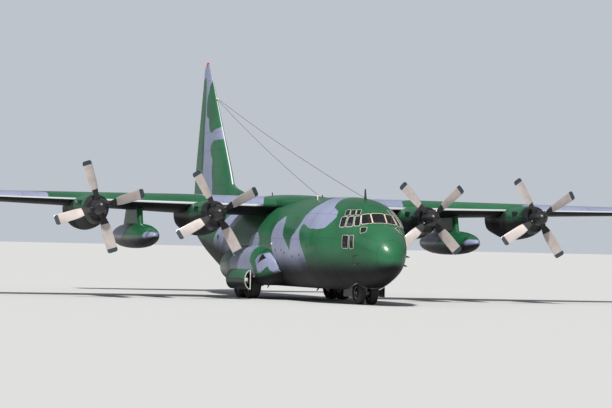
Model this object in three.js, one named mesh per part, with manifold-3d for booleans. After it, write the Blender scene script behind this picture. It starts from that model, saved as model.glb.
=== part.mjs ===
// Half-scale model of a four-engined, high-winged military transport plane, parked on its gear.
// Sizes are metres of the full-size aeroplane: x to port, y aft from the nose tip, z up from the ground.
// The exported group turns them into millimetres of the model, with its origin under the middle of the box.
import * as THREE from "three";
import { mergeVertices } from "three/addons/utils/BufferGeometryUtils.js";
import Module from "manifold-3d";

const wasm = await Module();
wasm.setup();

// Driving dimensions
const MODEL_MM_PER_METRE = 500;
const LENGTH = 29.79;
const HALF_SPAN = 20.205;
const HEIGHT = 11.66;
const FIT = 0.0008; // gap between pieces that touch
const RUNNING = 0.014; // gap round a piece that moves
const SIDES = 24; // sides of a fuselage section

// Fuselage
const WALL = 0.12;
const FLOOR_TOP = 1.03;
const RADOME_JOINT = 1.4;
const COCKPIT_REAR = 5.5;
const BARREL_REAR = 17.6;
const TAIL_JOINT = 26.4;
const HOLLOW_FRONT = 1.5;
const HOLLOW_REAR = 25.9;

// Landing gear
const MAIN_WHEEL = { x: 2.175, radius: 0.711, width: 0.508, rows: { front: 12.42, rear: 13.94 } };
const NOSE_WHEEL = { y: 3.4, radius: 0.495, width: 0.33, spacing: 0.56 };

// Wing
const WING_JOINT = 5.6;
const ENGINE_X = { inner: 5.0, outer: 10.3 };
const PROP_RADIUS = 2.057;
const PROP_PLANE = 8.75;

const SIDE = { port: 1, starboard: -1 };

const PAINT = {
  green: new THREE.MeshStandardMaterial({ color: 0x2f7a50, roughness: 0.45, metalness: 0.1 }),
  grey: new THREE.MeshStandardMaterial({ color: 0x999fbe, roughness: 0.5, metalness: 0.1 }),
  dark: new THREE.MeshStandardMaterial({ color: 0x24272b, roughness: 0.6, metalness: 0.2 }),
  black: new THREE.MeshStandardMaterial({ color: 0x121316, roughness: 0.4, metalness: 0.1 }),
  white: new THREE.MeshStandardMaterial({ color: 0xd9d9d4, roughness: 0.5, metalness: 0.1 }),
  rubber: new THREE.MeshStandardMaterial({ color: 0x17181a, roughness: 0.9, metalness: 0.0 }),
  steel: new THREE.MeshStandardMaterial({ color: 0x8f9398, roughness: 0.35, metalness: 0.8 }),
  glass: new THREE.MeshStandardMaterial({ color: 0x0d1013, roughness: 0.08, metalness: 0.0 }),
  blade: new THREE.MeshStandardMaterial({ color: 0x8d8582, roughness: 0.5, metalness: 0.2 }),
};

const vec = (x, y, z) => new THREE.Vector3(x, y, z);
const mix = THREE.MathUtils.lerp;
const radians = THREE.MathUtils.degToRad;

// Solids: every closed geometry becomes one, and joins and cuts are made on them
function solidFrom(points, faces) {
  let volume = 0;
  for (const [a, b, c] of faces) volume += points[a].dot(points[b].clone().cross(points[c]));
  const turned = volume < 0 ? faces.map(([a, b, c]) => [a, c, b]) : faces;
  const mesh = new wasm.Mesh({
    numProp: 3,
    vertProperties: new Float32Array(points.flatMap((p) => p.toArray())),
    triVerts: new Uint32Array(turned.flat()),
  });
  return new wasm.Manifold(mesh);
}

function solidOf(geometry) {
  const bare = new THREE.BufferGeometry().setAttribute("position", geometry.getAttribute("position"));
  bare.setIndex(geometry.getIndex());
  const merged = mergeVertices(bare, 1e-6);
  const place = merged.getAttribute("position");
  const index = merged.getIndex().array;
  const points = Array.from({ length: place.count }, (_, i) => new THREE.Vector3().fromBufferAttribute(place, i));
  const faces = [];
  for (let i = 0; i < index.length; i += 3) {
    const [a, b, c] = index.slice(i, i + 3);
    if (a !== b && b !== c && a !== c) faces.push([a, b, c]);
  }
  return solidFrom(points, faces);
}

// The largest body of a solid, for cuts that leave a sliver beside it
function largest(solid) {
  return solid.decompose().reduce((best, one) => (one.volume() > best.volume() ? one : best));
}

const join = (...solids) => solids.reduce((all, one) => all.add(one));
const cut = (solid, ...tools) => tools.reduce((left, tool) => left.subtract(tool), solid);

// A solid's triangles, without the slivers that a cut leaves
const SLIVER = 0.0001;

function geometryOf(solid) {
  const mesh = solid.simplify(SLIVER).getMesh();
  const place = new Float32Array(mesh.numVert * 3);
  for (let i = 0; i < mesh.numVert; i++) {
    place.set(mesh.vertProperties.subarray(i * mesh.numProp, i * mesh.numProp + 3), i * 3);
  }
  const geometry = new THREE.BufferGeometry();
  geometry.setAttribute("position", new THREE.BufferAttribute(place, 3));
  geometry.setIndex(new THREE.BufferAttribute(new Uint32Array(mesh.triVerts), 1));
  return geometry;
}

// A skin over rings of points. A ring of one point is a tip, and a wider end ring is closed flat.
function loft(rings) {
  const sides = Math.max(...rings.map((ring) => ring.length));
  const points = [];
  const faces = [];
  const starts = rings.map((ring) => points.push(...ring) - ring.length);
  const at = (i, j) => starts[i] + (rings[i].length === 1 ? 0 : j % sides);
  const add = (...face) => {
    if (new Set(face).size === 3) faces.push(face);
  };
  for (let i = 0; i + 1 < rings.length; i++) {
    for (let j = 0; j < sides; j++) {
      add(at(i, j), at(i, j + 1), at(i + 1, j + 1));
      add(at(i, j), at(i + 1, j + 1), at(i + 1, j));
    }
  }
  for (const end of [0, rings.length - 1]) {
    if (rings[end].length === 1) continue;
    const middle = rings[end].reduce((sum, p) => sum.add(p), vec(0, 0, 0)).divideScalar(sides);
    const centre = points.push(middle) - 1;
    for (let j = 0; j < sides; j++) {
      if (end === 0) add(centre, at(0, j + 1), at(0, j));
      else add(centre, at(end, j), at(end, j + 1));
    }
  }
  return solidFrom(points, faces);
}

function box(low, high) {
  const size = high.map((value, i) => value - low[i]);
  const geometry = new THREE.BoxGeometry(...size);
  geometry.translate(...high.map((value, i) => (value + low[i]) / 2));
  return solidOf(geometry);
}

// A round bar, or a cone where the two radii differ, between two points
const ROD_SIDES = 10;
function rod(from, to, radius, farRadius = radius, sides = ROD_SIDES, turn = 0) {
  const along = to.clone().sub(from);
  const geometry = new THREE.CylinderGeometry(farRadius, radius, along.length(), sides);
  geometry.rotateY(turn);
  geometry.applyQuaternion(new THREE.Quaternion().setFromUnitVectors(vec(0, 1, 0), along.normalize()));
  geometry.translate(...from.clone().add(to).divideScalar(2).toArray());
  return solidOf(geometry);
}

// The radius of a many-sided bore in which a round bar can turn
const boreRadius = (radius, sides = ROD_SIDES) => (radius + FIT) / Math.cos(Math.PI / sides);

// The bore for a bar, turned so that the bar's corners face its flats
function bore(from, to, radius) {
  const wide = boreRadius(radius);
  return rod(from, to, wide, wide, ROD_SIDES, Math.PI / ROD_SIDES);
}

// An outline of [y, z] points carried along x
function plateX(outline, x0, x1) {
  const shape = new THREE.Shape(outline.map(([y, z]) => new THREE.Vector2(y, z)));
  const geometry = new THREE.ExtrudeGeometry(shape, { depth: x1 - x0, bevelEnabled: false });
  geometry.applyMatrix4(new THREE.Matrix4().makeBasis(vec(0, 1, 0), vec(0, 0, 1), vec(1, 0, 0)));
  geometry.translate(x0, 0, 0);
  return solidOf(geometry);
}

// An outline of [x, z] points carried along y
function plateY(outline, y0, y1) {
  const shape = new THREE.Shape(outline.map(([x, z]) => new THREE.Vector2(x, z)));
  const geometry = new THREE.ExtrudeGeometry(shape, { depth: y1 - y0, bevelEnabled: false });
  geometry.applyMatrix4(new THREE.Matrix4().makeBasis(vec(1, 0, 0), vec(0, 0, 1), vec(0, -1, 0)));
  geometry.translate(0, y1, 0);
  return solidOf(geometry);
}

// A profile of [radius, distance] points turned about a line that starts at a place
const WHEEL_SIDES = 16;
function turned(profile, place, along, sides = WHEEL_SIDES) {
  const geometry = new THREE.LatheGeometry(profile.map(([r, d]) => new THREE.Vector2(r, d)), sides);
  geometry.applyQuaternion(new THREE.Quaternion().setFromUnitVectors(vec(0, 1, 0), along));
  geometry.translate(...place.toArray());
  return solidOf(geometry);
}

// Rows of a table, read at any place between them
function rowAt(table, key, value) {
  const last = table.length - 1;
  const after = table.findIndex((row) => row[key] >= value);
  const i = after < 0 ? last : Math.max(after, 1);
  const [a, b] = [table[i - 1], table[i]];
  const share = (value - a[key]) / (b[key] - a[key]);
  return Object.fromEntries(Object.keys(a).map((name) => [name, mix(a[name], b[name], share)]));
}

// Fuselage sections: half width, roof, height of the widest line, height that the round underside would
// reach, flat keel, and how square the upper half is (2 is an ellipse)
const BODY = [
  { y: 0.0, w: 0.0, top: 1.97, mid: 1.97, low: 1.97, flat: 1.97, square: 2.0 },
  { y: 0.04, w: 0.2, top: 2.21, mid: 1.99, low: 1.71, flat: 1.71, square: 2.0 },
  { y: 0.16, w: 0.41, top: 2.45, mid: 2.04, low: 1.49, flat: 1.49, square: 2.0 },
  { y: 0.4, w: 0.63, top: 2.74, mid: 2.14, low: 1.27, flat: 1.27, square: 2.0 },
  { y: 0.8, w: 0.83, top: 3.04, mid: 2.27, low: 1.09, flat: 1.09, square: 2.0 },
  { y: 1.4, w: 1.06, top: 3.32, mid: 2.38, low: 0.92, flat: 0.92, square: 2.05 },
  { y: 1.7, w: 1.17, top: 3.42, mid: 2.4, low: 0.85, flat: 0.85, square: 2.15 },
  { y: 2.2, w: 1.35, top: 3.9, mid: 2.44, low: 0.75, flat: 0.75, square: 2.2 },
  { y: 2.8, w: 1.56, top: 4.25, mid: 2.47, low: 0.62, flat: 0.64, square: 2.15 },
  { y: 3.5, w: 1.8, top: 4.44, mid: 2.5, low: 0.5, flat: 0.6, square: 2.05 },
  { y: 4.4, w: 2.05, top: 4.54, mid: 2.48, low: 0.38, flat: 0.6, square: 2.0 },
  { y: 5.5, w: 2.16, top: 4.58, mid: 2.42, low: 0.26, flat: 0.6, square: 2.0 },
  { y: 17.6, w: 2.16, top: 4.6, mid: 2.42, low: 0.26, flat: 0.6, square: 2.0 },
  { y: 18.1, w: 2.15, top: 4.6, mid: 2.44, low: 0.34, flat: 0.62, square: 2.0 },
  { y: 19.5, w: 2.12, top: 4.62, mid: 2.56, low: 0.8, flat: 1.13, square: 2.0 },
  { y: 21.1, w: 2.02, top: 4.66, mid: 2.72, low: 1.38, flat: 1.71, square: 2.0 },
  { y: 23.0, w: 1.77, top: 4.71, mid: 2.98, low: 2.1, flat: 2.39, square: 2.0 },
  { y: 25.0, w: 1.38, top: 4.76, mid: 3.4, low: 2.92, flat: 3.11, square: 2.0 },
  { y: 26.4, w: 1.04, top: 4.78, mid: 3.78, low: 3.5, flat: 3.56, square: 2.0 },
  { y: 28.2, w: 0.58, top: 4.76, mid: 4.2, low: 3.98, flat: 3.98, square: 2.0 },
  { y: 29.4, w: 0.24, top: 4.68, mid: 4.42, low: 4.24, flat: 4.24, square: 2.0 },
  { y: 29.79, w: 0.0, top: 4.46, mid: 4.46, low: 4.46, flat: 4.46, square: 2.0 },
];

// One section as a ring of points; a positive inset shrinks it
function bodyRing(y, inset = 0) {
  const { w, top, mid, low, flat, square } = rowAt(BODY, "y", y);
  if (w === 0) return [vec(0, y, mid)];
  return Array.from({ length: SIDES }, (_, i) => {
    const turn = (2 * Math.PI * i) / SIDES;
    const [across, up] = [Math.cos(turn), Math.sin(turn)];
    const power = up > 0 ? 2 / square : 1;
    const x = (w - inset) * Math.sign(across) * Math.abs(across) ** power;
    const height = up > 0 ? top - mid : mid - low;
    const z = mid + (height - inset) * Math.sign(up) * Math.abs(up) ** power;
    return vec(x, y, Math.max(z, flat + inset));
  });
}

// The fuselage's outer shape between two stations, grown or shrunk by an inset
function bodyBetween(from, to, inset = 0) {
  const inside = BODY.map((row) => row.y).filter((y) => y > from + 0.01 && y < to - 0.01);
  return loft([from, ...inside, to].map((y) => bodyRing(y, inset)));
}

const outer = (from, to) => bodyBetween(from, to);
const hollow = bodyBetween(HOLLOW_FRONT, HOLLOW_REAR, WALL);

// Half the thickness of an aerofoil at a share of its chord, with a thin blunt tail
function halfThickness(share, thick) {
  const shape = 0.2969 * Math.sqrt(share) - 0.126 * share - 0.3516 * share ** 2 + 0.2843 * share ** 3;
  return 5 * thick * (shape - 0.1036 * share ** 4) + 0.0016 * share;
}

// A flying surface: rows give the place along the span, leading edge, chord, thickness and twist.
// A wing lies flat, with its rows along x. A fin stands, with its rows along z.
class Surface {
  constructor({ rows, camber = 0, standing = false }) {
    Object.assign(this, { rows, camber, standing });
  }

  // The point at a share of the chord and a height over the chord line, both as shares of the chord
  point(span, share, height) {
    const { lead, chord, level, twist } = rowAt(this.rows, "span", span);
    const [along, up] = [share * chord, height * chord];
    if (this.standing) return vec(up, lead + along, span);
    const turn = radians(twist);
    const y = lead + along * Math.cos(turn) + up * Math.sin(turn);
    return vec(span, y, level - along * Math.sin(turn) + up * Math.cos(turn));
  }

  edge(span, share, side) {
    const { thick } = rowAt(this.rows, "span", span);
    return this.point(span, share, this.middle(share) + side * halfThickness(share, thick));
  }

  middle(share) {
    return this.camber * 4 * share * (1 - share);
  }

  ring(span, count = 7) {
    const shares = Array.from({ length: count + 1 }, (_, i) => (1 - Math.cos((Math.PI * i) / count)) / 2);
    const upper = shares.toReversed().map((share) => this.edge(span, share, 1));
    const lower = shares.slice(1).map((share) => this.edge(span, share, -1));
    return [...upper, ...lower];
  }

  solid(from, to) {
    const [low, high] = [Math.min(from, to), Math.max(from, to)];
    const between = this.rows.map((row) => row.span).filter((s) => s > low + 0.01 && s < high - 0.01);
    return loft([low, ...between, high].map((span) => this.ring(span)));
  }

  // The share of the chord at which a hinge line at y crosses a place along the span
  share(span, y) {
    const { lead, chord } = rowAt(this.rows, "span", span);
    return (y - lead) / chord;
  }
}

const PIN = { radius: 0.03, length: 0.05 };

// A hinged piece behind a straight hinge line: its solid, the bay that it leaves and the holes of its pins.
// The swings to either side, in degrees, cut the bay's lips back as far as the turned piece reaches.
function hingedPiece(surface, { from, to, hinge, swings, gap = RUNNING }) {
  const hingeY = (span) => mix(hinge[0], hinge[1], (span - from) / (to - from));
  const frameAt = (span) => {
    const share = surface.share(span, hingeY(span));
    const centre = surface.point(span, share, surface.middle(share));
    const top = surface.edge(span, share, 1);
    const radius = top.distanceTo(centre);
    const up = top.clone().sub(centre).normalize();
    const back = surface.point(span, 1, surface.middle(1)).sub(centre).normalize();
    return { span, share, centre, radius, up, back };
  };
  const ends = [from, to].map(frameAt);
  const axis = ends[1].centre.clone().sub(ends[0].centre).normalize();
  const slice = (span) => {
    const { share, centre, radius, up, back } = frameAt(span);
    const shares = Array.from({ length: 3 }, (_, i) => share + ((1 - share) * (i + 1)) / 3);
    const nose = Array.from({ length: 6 }, (_, i) => {
      const turn = (Math.PI * i) / 5;
      const ahead = back.clone().multiplyScalar(-radius * Math.sin(turn));
      return centre.clone().addScaledVector(up, radius * Math.cos(turn)).add(ahead);
    });
    const upper = shares.toReversed().map((s) => surface.edge(span, s, 1));
    const lower = shares.map((s) => surface.edge(span, s, -1));
    return [...upper, ...nose, ...lower];
  };
  const inset = Math.sign(to - from) * gap;
  const [a, b] = ends;
  const piece = loft([slice(from + inset), slice(to - inset)]);
  const pinReach = axis.clone().multiplyScalar(PIN.length);
  const pin = rod(a.centre.clone().sub(pinReach), b.centre.clone().add(pinReach), PIN.radius);
  const holes = bore(
    a.centre.clone().addScaledVector(pinReach, -1.2),
    b.centre.clone().addScaledVector(pinReach, 1.2),
    PIN.radius,
  );
  const nose = rod(a.centre, b.centre, a.radius + RUNNING, b.radius + RUNNING, 16);
  const corners = (end) => {
    const tail = surface.point(end.span, 1.06, 0);
    const lift = surface.standing ? vec(1, 0, 0) : vec(0, 0, 1);
    return [
      end.centre.clone().addScaledVector(lift, 0.6),
      tail.clone().addScaledVector(lift, 0.6),
      tail.clone().addScaledVector(lift, -0.6),
      end.centre.clone().addScaledVector(lift, -0.6),
    ];
  };
  const lips = swings.map((swing, i) => loft(ends.map((end) => lipCorners(end, i === 0 ? 1 : -1, radians(swing)))));
  const bay = join(loft(ends.map(corners)), nose, ...lips);
  return { solid: join(piece, pin), bay, holes };
}

// Corners of the wedge that a piece sweeps beside its hinge when it turns to one side
const TAIL_TAPER = radians(8);
const WEDGE = 0.8;

function lipCorners({ centre, radius, up, back }, side, swing) {
  const reach = radius + RUNNING;
  const at = (along, across) => centre.clone().addScaledVector(back, along).addScaledVector(up, side * across);
  const foot = [-reach * Math.sin(swing), reach * Math.cos(swing)];
  const slope = swing - TAIL_TAPER;
  const far = [foot[0] + WEDGE * Math.cos(slope), foot[1] + WEDGE * Math.sin(slope)];
  return [at(0, 0), at(...foot), at(...far), at(far[0], 0)];
}

const WING_ROWS = [
  { span: 0, lead: 11.5, chord: 4.88, thick: 0.18, level: 4.22, twist: 3 },
  { span: 5.6, lead: 11.5, chord: 4.88, thick: 0.175, level: 4.25, twist: 3 },
  { span: 19.75, lead: 12.08, chord: 2.55, thick: 0.12, level: 4.4, twist: 0.3 },
  { span: 20.1, lead: 12.28, chord: 2.0, thick: 0.1, level: 4.42, twist: 0.3 },
  { span: HALF_SPAN, lead: 12.6, chord: 1.3, thick: 0.05, level: 4.42, twist: 0.3 },
];
const FLAP_HINGE = 0.72;
const AILERON_HINGE = 0.75;
const onWing = (span, share) => {
  const { lead, chord } = rowAt(WING_ROWS, "span", span);
  return lead + share * chord;
};

// Flaps and ailerons: place along the half span, share of the chord at the hinge line, swings up and down
// in degrees, and gap at the ends, wider where the hinge line is swept and so shifts the ends sideways
const WING_PIECES = {
  flap_inner: { from: 2.1, to: 5.45, share: FLAP_HINGE, swings: [0, 36], gap: 0.02 },
  flap_outer: { from: 5.75, to: 12.15, share: FLAP_HINGE, swings: [0, 36], gap: 0.05 },
  aileron: { from: 12.4, to: 19.5, share: AILERON_HINGE, swings: [20, 20], gap: 0.03 },
};

const mirrored = (rows, side) => rows.map((row) => ({ ...row, span: row.span * side }));

function wingParts(side) {
  const rows = mirrored(WING_ROWS, SIDE[side]);
  if (side === "starboard") rows.reverse();
  const surface = new Surface({ rows, camber: 0.016 });
  const pieces = Object.fromEntries(
    Object.entries(WING_PIECES).map(([name, { from, to, share, swings, gap }]) => {
      const hinge = [onWing(from, share), onWing(to, share)];
      const span = [from * SIDE[side], to * SIDE[side]];
      return [name, hingedPiece(surface, { from: span[0], to: span[1], hinge, swings, gap })];
    }),
  );
  return { surface, pieces };
}

const WINGS = { port: wingParts("port"), starboard: wingParts("starboard") };

function wingCentre() {
  const rows = [{ ...WING_ROWS[1], span: -WING_JOINT }, WING_ROWS[0], { ...WING_ROWS[1], span: WING_JOINT }];
  const whole = new Surface({ rows, camber: 0.016 }).solid(-WING_JOINT, WING_JOINT);
  const inner = Object.values(WINGS).map((wing) => wing.pieces.flap_inner);
  return cut(whole, ...inner.map((piece) => piece.bay), ...inner.map((piece) => piece.holes));
}

function wingOuter(side) {
  const { surface, pieces } = WINGS[side];
  const whole = surface.solid(SIDE[side] * (WING_JOINT + FIT), SIDE[side] * HALF_SPAN);
  const hinged = [pieces.flap_outer, pieces.aileron];
  return cut(whole, ...hinged.map((piece) => piece.bay), ...hinged.map((piece) => piece.holes));
}

// The wing's outer shape with a little air all round, to cut what it passes through
function wingCutter() {
  const grown = WING_ROWS.map((row) => ({
    ...row,
    lead: row.lead - FIT,
    chord: row.chord + 2 * FIT,
    thick: row.thick + 0.0008,
  }));
  const rows = [...mirrored(grown.slice(1, 3), -1).reverse(), ...grown.slice(0, 3)];
  const reach = rows[rows.length - 1].span;
  return new Surface({ rows, camber: 0.016 }).solid(-reach, reach);
}

const WING_CUTTER = wingCutter();

// Tail surfaces
const FIN = new Surface({
  standing: true,
  rows: [
    { span: 4.3, lead: 22.15, chord: 7.6, thick: 0.085, level: 0, twist: 0 },
    { span: 6.1, lead: 23.27, chord: 6.23, thick: 0.09, level: 0, twist: 0 },
    { span: 10.45, lead: 26.47, chord: 1.95, thick: 0.1, level: 0, twist: 0 },
    { span: 11.25, lead: 27.08, chord: 1.17, thick: 0.1, level: 0, twist: 0 },
    { span: 11.55, lead: 27.32, chord: 0.78, thick: 0.08, level: 0, twist: 0 },
    { span: HEIGHT, lead: 27.5, chord: 0.4, thick: 0.05, level: 0, twist: 0 },
  ],
});
const RUDDER = hingedPiece(FIN, { from: 5.0, to: 10.4, hinge: [28.1, 27.72], swings: [35, 35] });

const TAIL_ROWS = [
  { span: 0, lead: 24.75, chord: 4.6, thick: 0.115, level: 4.65, twist: 0 },
  { span: 7.6, lead: 26.25, chord: 2.5, thick: 0.1, level: 4.65, twist: 0 },
  { span: 7.9, lead: 26.5, chord: 2.0, thick: 0.08, level: 4.65, twist: 0 },
  { span: 8.025, lead: 26.85, chord: 1.3, thick: 0.05, level: 4.65, twist: 0 },
];
const ELEVATOR = { from: 0.9, to: 7.5, hinge: 27.95, swings: [40, 15] };

function tailParts(side) {
  const rows = mirrored(TAIL_ROWS, SIDE[side]);
  if (side === "starboard") rows.reverse();
  const surface = new Surface({ rows });
  const span = [ELEVATOR.from * SIDE[side], ELEVATOR.to * SIDE[side]];
  const hinge = [ELEVATOR.hinge, ELEVATOR.hinge];
  const { swings } = ELEVATOR;
  return { surface, elevator: hingedPiece(surface, { from: span[0], to: span[1], hinge, swings }) };
}

const TAILS = { port: tailParts("port"), starboard: tailParts("starboard") };
const TAIL_BODY = bodyBetween(21.1, LENGTH - 0.01, -FIT);

function tailplane(side) {
  const { surface, elevator } = TAILS[side];
  const whole = surface.solid(0.3 * SIDE[side], 8.025 * SIDE[side]);
  return cut(whole, elevator.bay, elevator.holes, TAIL_BODY, FIN_CUTTER);
}

const DORSAL = [
  { y: 18.6, w: 0.02, top: 4.6 },
  { y: 20.05, w: 0.08, top: 4.86 },
  { y: 21.4, w: 0.13, top: 5.07 },
  { y: 22.3, w: 0.17, top: 5.24 },
  { y: 22.9, w: 0.2, top: 5.44 },
  { y: 23.4, w: 0.22, top: 5.9 },
];

function dorsalFillet(grow = 0) {
  const rings = DORSAL.map(({ y, w, top }) => [
    vec(w * 1.6 + grow, y, 4.2),
    vec(w + grow, y, mix(4.6, top, 0.6)),
    vec(w * 0.3 + grow, y, top),
    vec(-w * 0.3 - grow, y, top),
    vec(-w - grow, y, mix(4.6, top, 0.6)),
    vec(-w * 1.6 - grow, y, 4.2),
  ]);
  return loft(rings);
}

function fin() {
  const whole = join(FIN.solid(4.3, HEIGHT), dorsalFillet());
  return largest(cut(whole, RUDDER.bay, RUDDER.holes, TAIL_BODY, bodyBetween(17.0, 21.2, -FIT)));
}

// The fin's foot with a little air all round, to cut what it passes through
const FIN_FOOT = FIN.rows.slice(0, 2).map((row) => ({
  ...row,
  lead: row.lead - 0.01,
  chord: row.chord + 0.02,
  thick: row.thick + 0.002,
}));
const FIN_CUTTER = new Surface({ standing: true, rows: FIN_FOOT }).solid(4.3, 6.1);

// Nose and cockpit
const radome = () => outer(0, RADOME_JOINT - FIT);

// Windscreen panes as [x, z] corners, cut from the front, and side panes as [y, z] corners
const FRONT_PANES = [
  [[-0.27, 3.45], [0.27, 3.45], [0.25, 3.83], [-0.25, 3.83]],
  [[0.33, 3.45], [0.72, 3.42], [0.63, 3.78], [0.31, 3.82]],
  [[-0.33, 3.45], [-0.72, 3.42], [-0.63, 3.78], [-0.31, 3.82]],
];
const SIDE_PANES = [
  [[1.95, 3.34], [2.08, 3.32], [2.32, 3.68], [2.18, 3.71]],
  [[2.16, 3.3], [2.44, 3.27], [2.6, 3.66], [2.4, 3.69]],
  [[2.54, 3.27], [2.78, 3.27], [2.94, 3.65], [2.71, 3.68]],
  [[2.08, 2.38], [2.41, 2.38], [2.46, 2.9], [2.13, 2.9]],
  [[1.74, 2.38], [1.95, 2.38], [2.03, 2.9], [1.86, 2.9]],
];

function windowCutters() {
  const front = FRONT_PANES.map((outline) => plateY(outline, 0.8, 2.7));
  const sides = SIDE_PANES.flatMap((outline) => [plateX(outline, 0.6, 3), plateX(outline, -3, -0.6)]);
  return [...front, ...sides];
}

// The crew door's opening and hinge: its middle, its heights, and its turn in plan beside the narrowing nose
const CREW_DOOR = { hinge: { x: 1.57, y: 4.535, z: 1.13 }, half: 0.385, z0: 1.12, z1: 2.3, sillGap: 0.03, turn: 10.66 };
const DOOR_PIN = { radius: 0.025, reach: 0.06 };
const NOSE_WELL = { x: 0.74, y0: 2.5, y1: 4.3, top: 1.45, wall: 0.04 };

function crewDoorHole(gap, sill) {
  const { hinge, half, z0, z1, turn } = CREW_DOOR;
  const upright = box([-0.6, -half - gap, z0 - sill], [1.0, half + gap, z1 + gap]);
  return upright.rotate([0, 0, -turn]).translate([hinge.x, hinge.y, 0]);
}

// A door's pins, or their bores, on the line that a function gives for a reach past the door's sides
const pinsOf = (line) => rod(...line(DOOR_PIN.reach), DOOR_PIN.radius);
const pinHole = (line) => bore(...line(DOOR_PIN.reach + 0.01), DOOR_PIN.radius);

function crewDoorLine(reach) {
  const { hinge, half, turn } = CREW_DOOR;
  const along = vec(Math.sin(radians(turn)), Math.cos(radians(turn)), 0);
  return [-1, 1].map((end) => vec(hinge.x, hinge.y, hinge.z).addScaledVector(along, end * (half + reach)));
}

function cockpitShell() {
  const skin = cut(outer(RADOME_JOINT + FIT, COCKPIT_REAR - FIT), hollow);
  const { x, y0, y1, top } = NOSE_WELL;
  const well = box([-x - FIT, y0 - FIT, 0], [x + FIT, y1 + FIT, top + FIT]);
  const doorway = crewDoorHole(RUNNING, CREW_DOOR.sillGap);
  return cut(skin, ...windowCutters(), doorway, pinHole(crewDoorLine), well);
}

function crewDoor() {
  const slab = cut(outer(RADOME_JOINT, COCKPIT_REAR), hollow);
  return join(slab.intersect(crewDoorHole(0, 0)), pinsOf(crewDoorLine));
}

function glazing() {
  const band = cut(bodyBetween(1.7, 3.5, WALL + 3 * FIT), bodyBetween(1.0, 4.0, WALL + 0.03));
  const height = box([-3, 1.0, 2.28], [3, 3.1, 3.92]);
  return band.intersect(height);
}

function noseWell() {
  const { x, y0, y1, top, wall } = NOSE_WELL;
  const room = box([-x, y0, 0.3], [x, y1, top]);
  const inside = box([-x + wall, y0 + wall, 0], [x - wall, y1 - wall, top - wall]);
  return cut(room.intersect(outer(RADOME_JOINT, COCKPIT_REAR)), inside);
}

// Cockpit floor with the instrument panel and seats on it
function flightDeck() {
  const room = bodyBetween(2.2, COCKPIT_REAR - 0.3, WALL + 2 * FIT);
  const floor = room.intersect(box([-3, 1, 2.1], [3, 4.1, 2.2]));
  const panel = box([-0.82, 2.05, 2.15], [0.82, 2.22, 3.1]);
  const seats = [-0.65, 0.65].flatMap((x) => [
    box([x - 0.1, 2.95, 2.15], [x + 0.1, 3.2, 2.6]),
    box([x - 0.26, 2.8, 2.55], [x + 0.26, 3.35, 2.7]),
    box([x - 0.26, 3.27, 2.65], [x + 0.26, 3.4, 3.45]),
  ]);
  return join(floor, panel, ...seats);
}

// Barrel, with the wing passing through its roof
const WELL = { inner: 1.5, wall: 0.06, y0: 11.4, y1: 14.95, top: 1.98 };

function wellBlock(grow) {
  const { inner, y0, y1, top } = WELL;
  return [1, -1].map((side) => {
    const x = [side * (inner - grow), side * 2.3].sort((a, b) => a - b);
    return box([x[0], y0 - grow, 0.3], [x[1], y1 + grow, top + grow]);
  });
}

function barrelShell() {
  const skin = cut(outer(COCKPIT_REAR, BARREL_REAR), hollow);
  return cut(skin, WING_CUTTER, ...wellBlock(FIT));
}

function cargoFloor() {
  const room = bodyBetween(COCKPIT_REAR, RAMP.front - RUNNING, WALL + 2 * FIT);
  const slab = room.intersect(box([-3, 5, 0], [3, 18.5, FLOOR_TOP]));
  return cut(slab, RAMP_SWEEP, ...wellBlock(FIT));
}

// Ramp and aft door, cut from the fuselage's own underside
const KEEL_SLOPE = Math.atan2(3.11 - 1.13, 25.0 - 19.5);
const KEEL_START = { y: 18.1, z: 0.62 };
const RAMP = { front: 18.1, hinge: { y: 18.15, z: 0.93 }, halfWidth: 1.42, length: 3.1, thick: 0.2 };
const AFT_DOOR = { rearY: 25.7, halfWidth: [1.36, 0.86], thick: 0.18 };
const RAMP_SWEEP = rampSweep();

// What the ramp's front face passes through below its hinge as it goes down
function rampSweep() {
  const { y, z } = RAMP.hinge;
  const reach = Math.hypot(y - RAMP.front, z - KEEL_START.z) + RUNNING;
  const arc = Array.from({ length: 6 }, (_, i) => {
    const turn = radians(mix(-136, -84, i / 5));
    return [y + reach * Math.cos(turn), z + reach * Math.sin(turn)];
  });
  const half = RAMP.halfWidth + RUNNING;
  return plateX([[RAMP.front - RUNNING, z + 0.2], ...arc, [y + 0.05, z + 0.2]], -half, half);
}

function alongKeel(distance, height) {
  const [c, s] = [Math.cos(KEEL_SLOPE), Math.sin(KEEL_SLOPE)];
  return [KEEL_START.y + distance * c - height * s, KEEL_START.z + distance * s + height * c];
}

function rampPrism(grow) {
  const { front, halfWidth, length, thick } = RAMP;
  const outline = [
    [front - grow, 0],
    alongKeel(length + grow, -0.8),
    alongKeel(length + grow, thick + (grow > 0 ? 0.6 : 0)),
    [front - grow, FLOOR_TOP + (grow > 0 ? 0.6 : 0)],
  ];
  return plateX(outline, -halfWidth - grow, halfWidth + grow);
}

function rampLine(reach) {
  const { hinge, halfWidth } = RAMP;
  const half = halfWidth + reach;
  return [vec(-half, hinge.y, hinge.z), vec(half, hinge.y, hinge.z)];
}

const ramp = () => join(outer(17.9, 22.5).intersect(rampPrism(0)), pinsOf(rampLine));

function aftDoorPrism(grow) {
  const { rearY, halfWidth, thick } = AFT_DOOR;
  const start = RAMP.length + RUNNING - grow;
  const end = (rearY - KEEL_START.y) / Math.cos(KEEL_SLOPE) + grow;
  const lift = thick + (grow > 0 ? 0.5 : 0);
  const ring = (distance, half) => {
    const [low, high] = [alongKeel(distance, -0.8), alongKeel(distance, lift)];
    const x = half + grow;
    return [vec(-x, ...low), vec(x, ...low), vec(x, ...high), vec(-x, ...high)];
  };
  return loft([ring(start, halfWidth[0]), ring(end, halfWidth[1])]);
}

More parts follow.
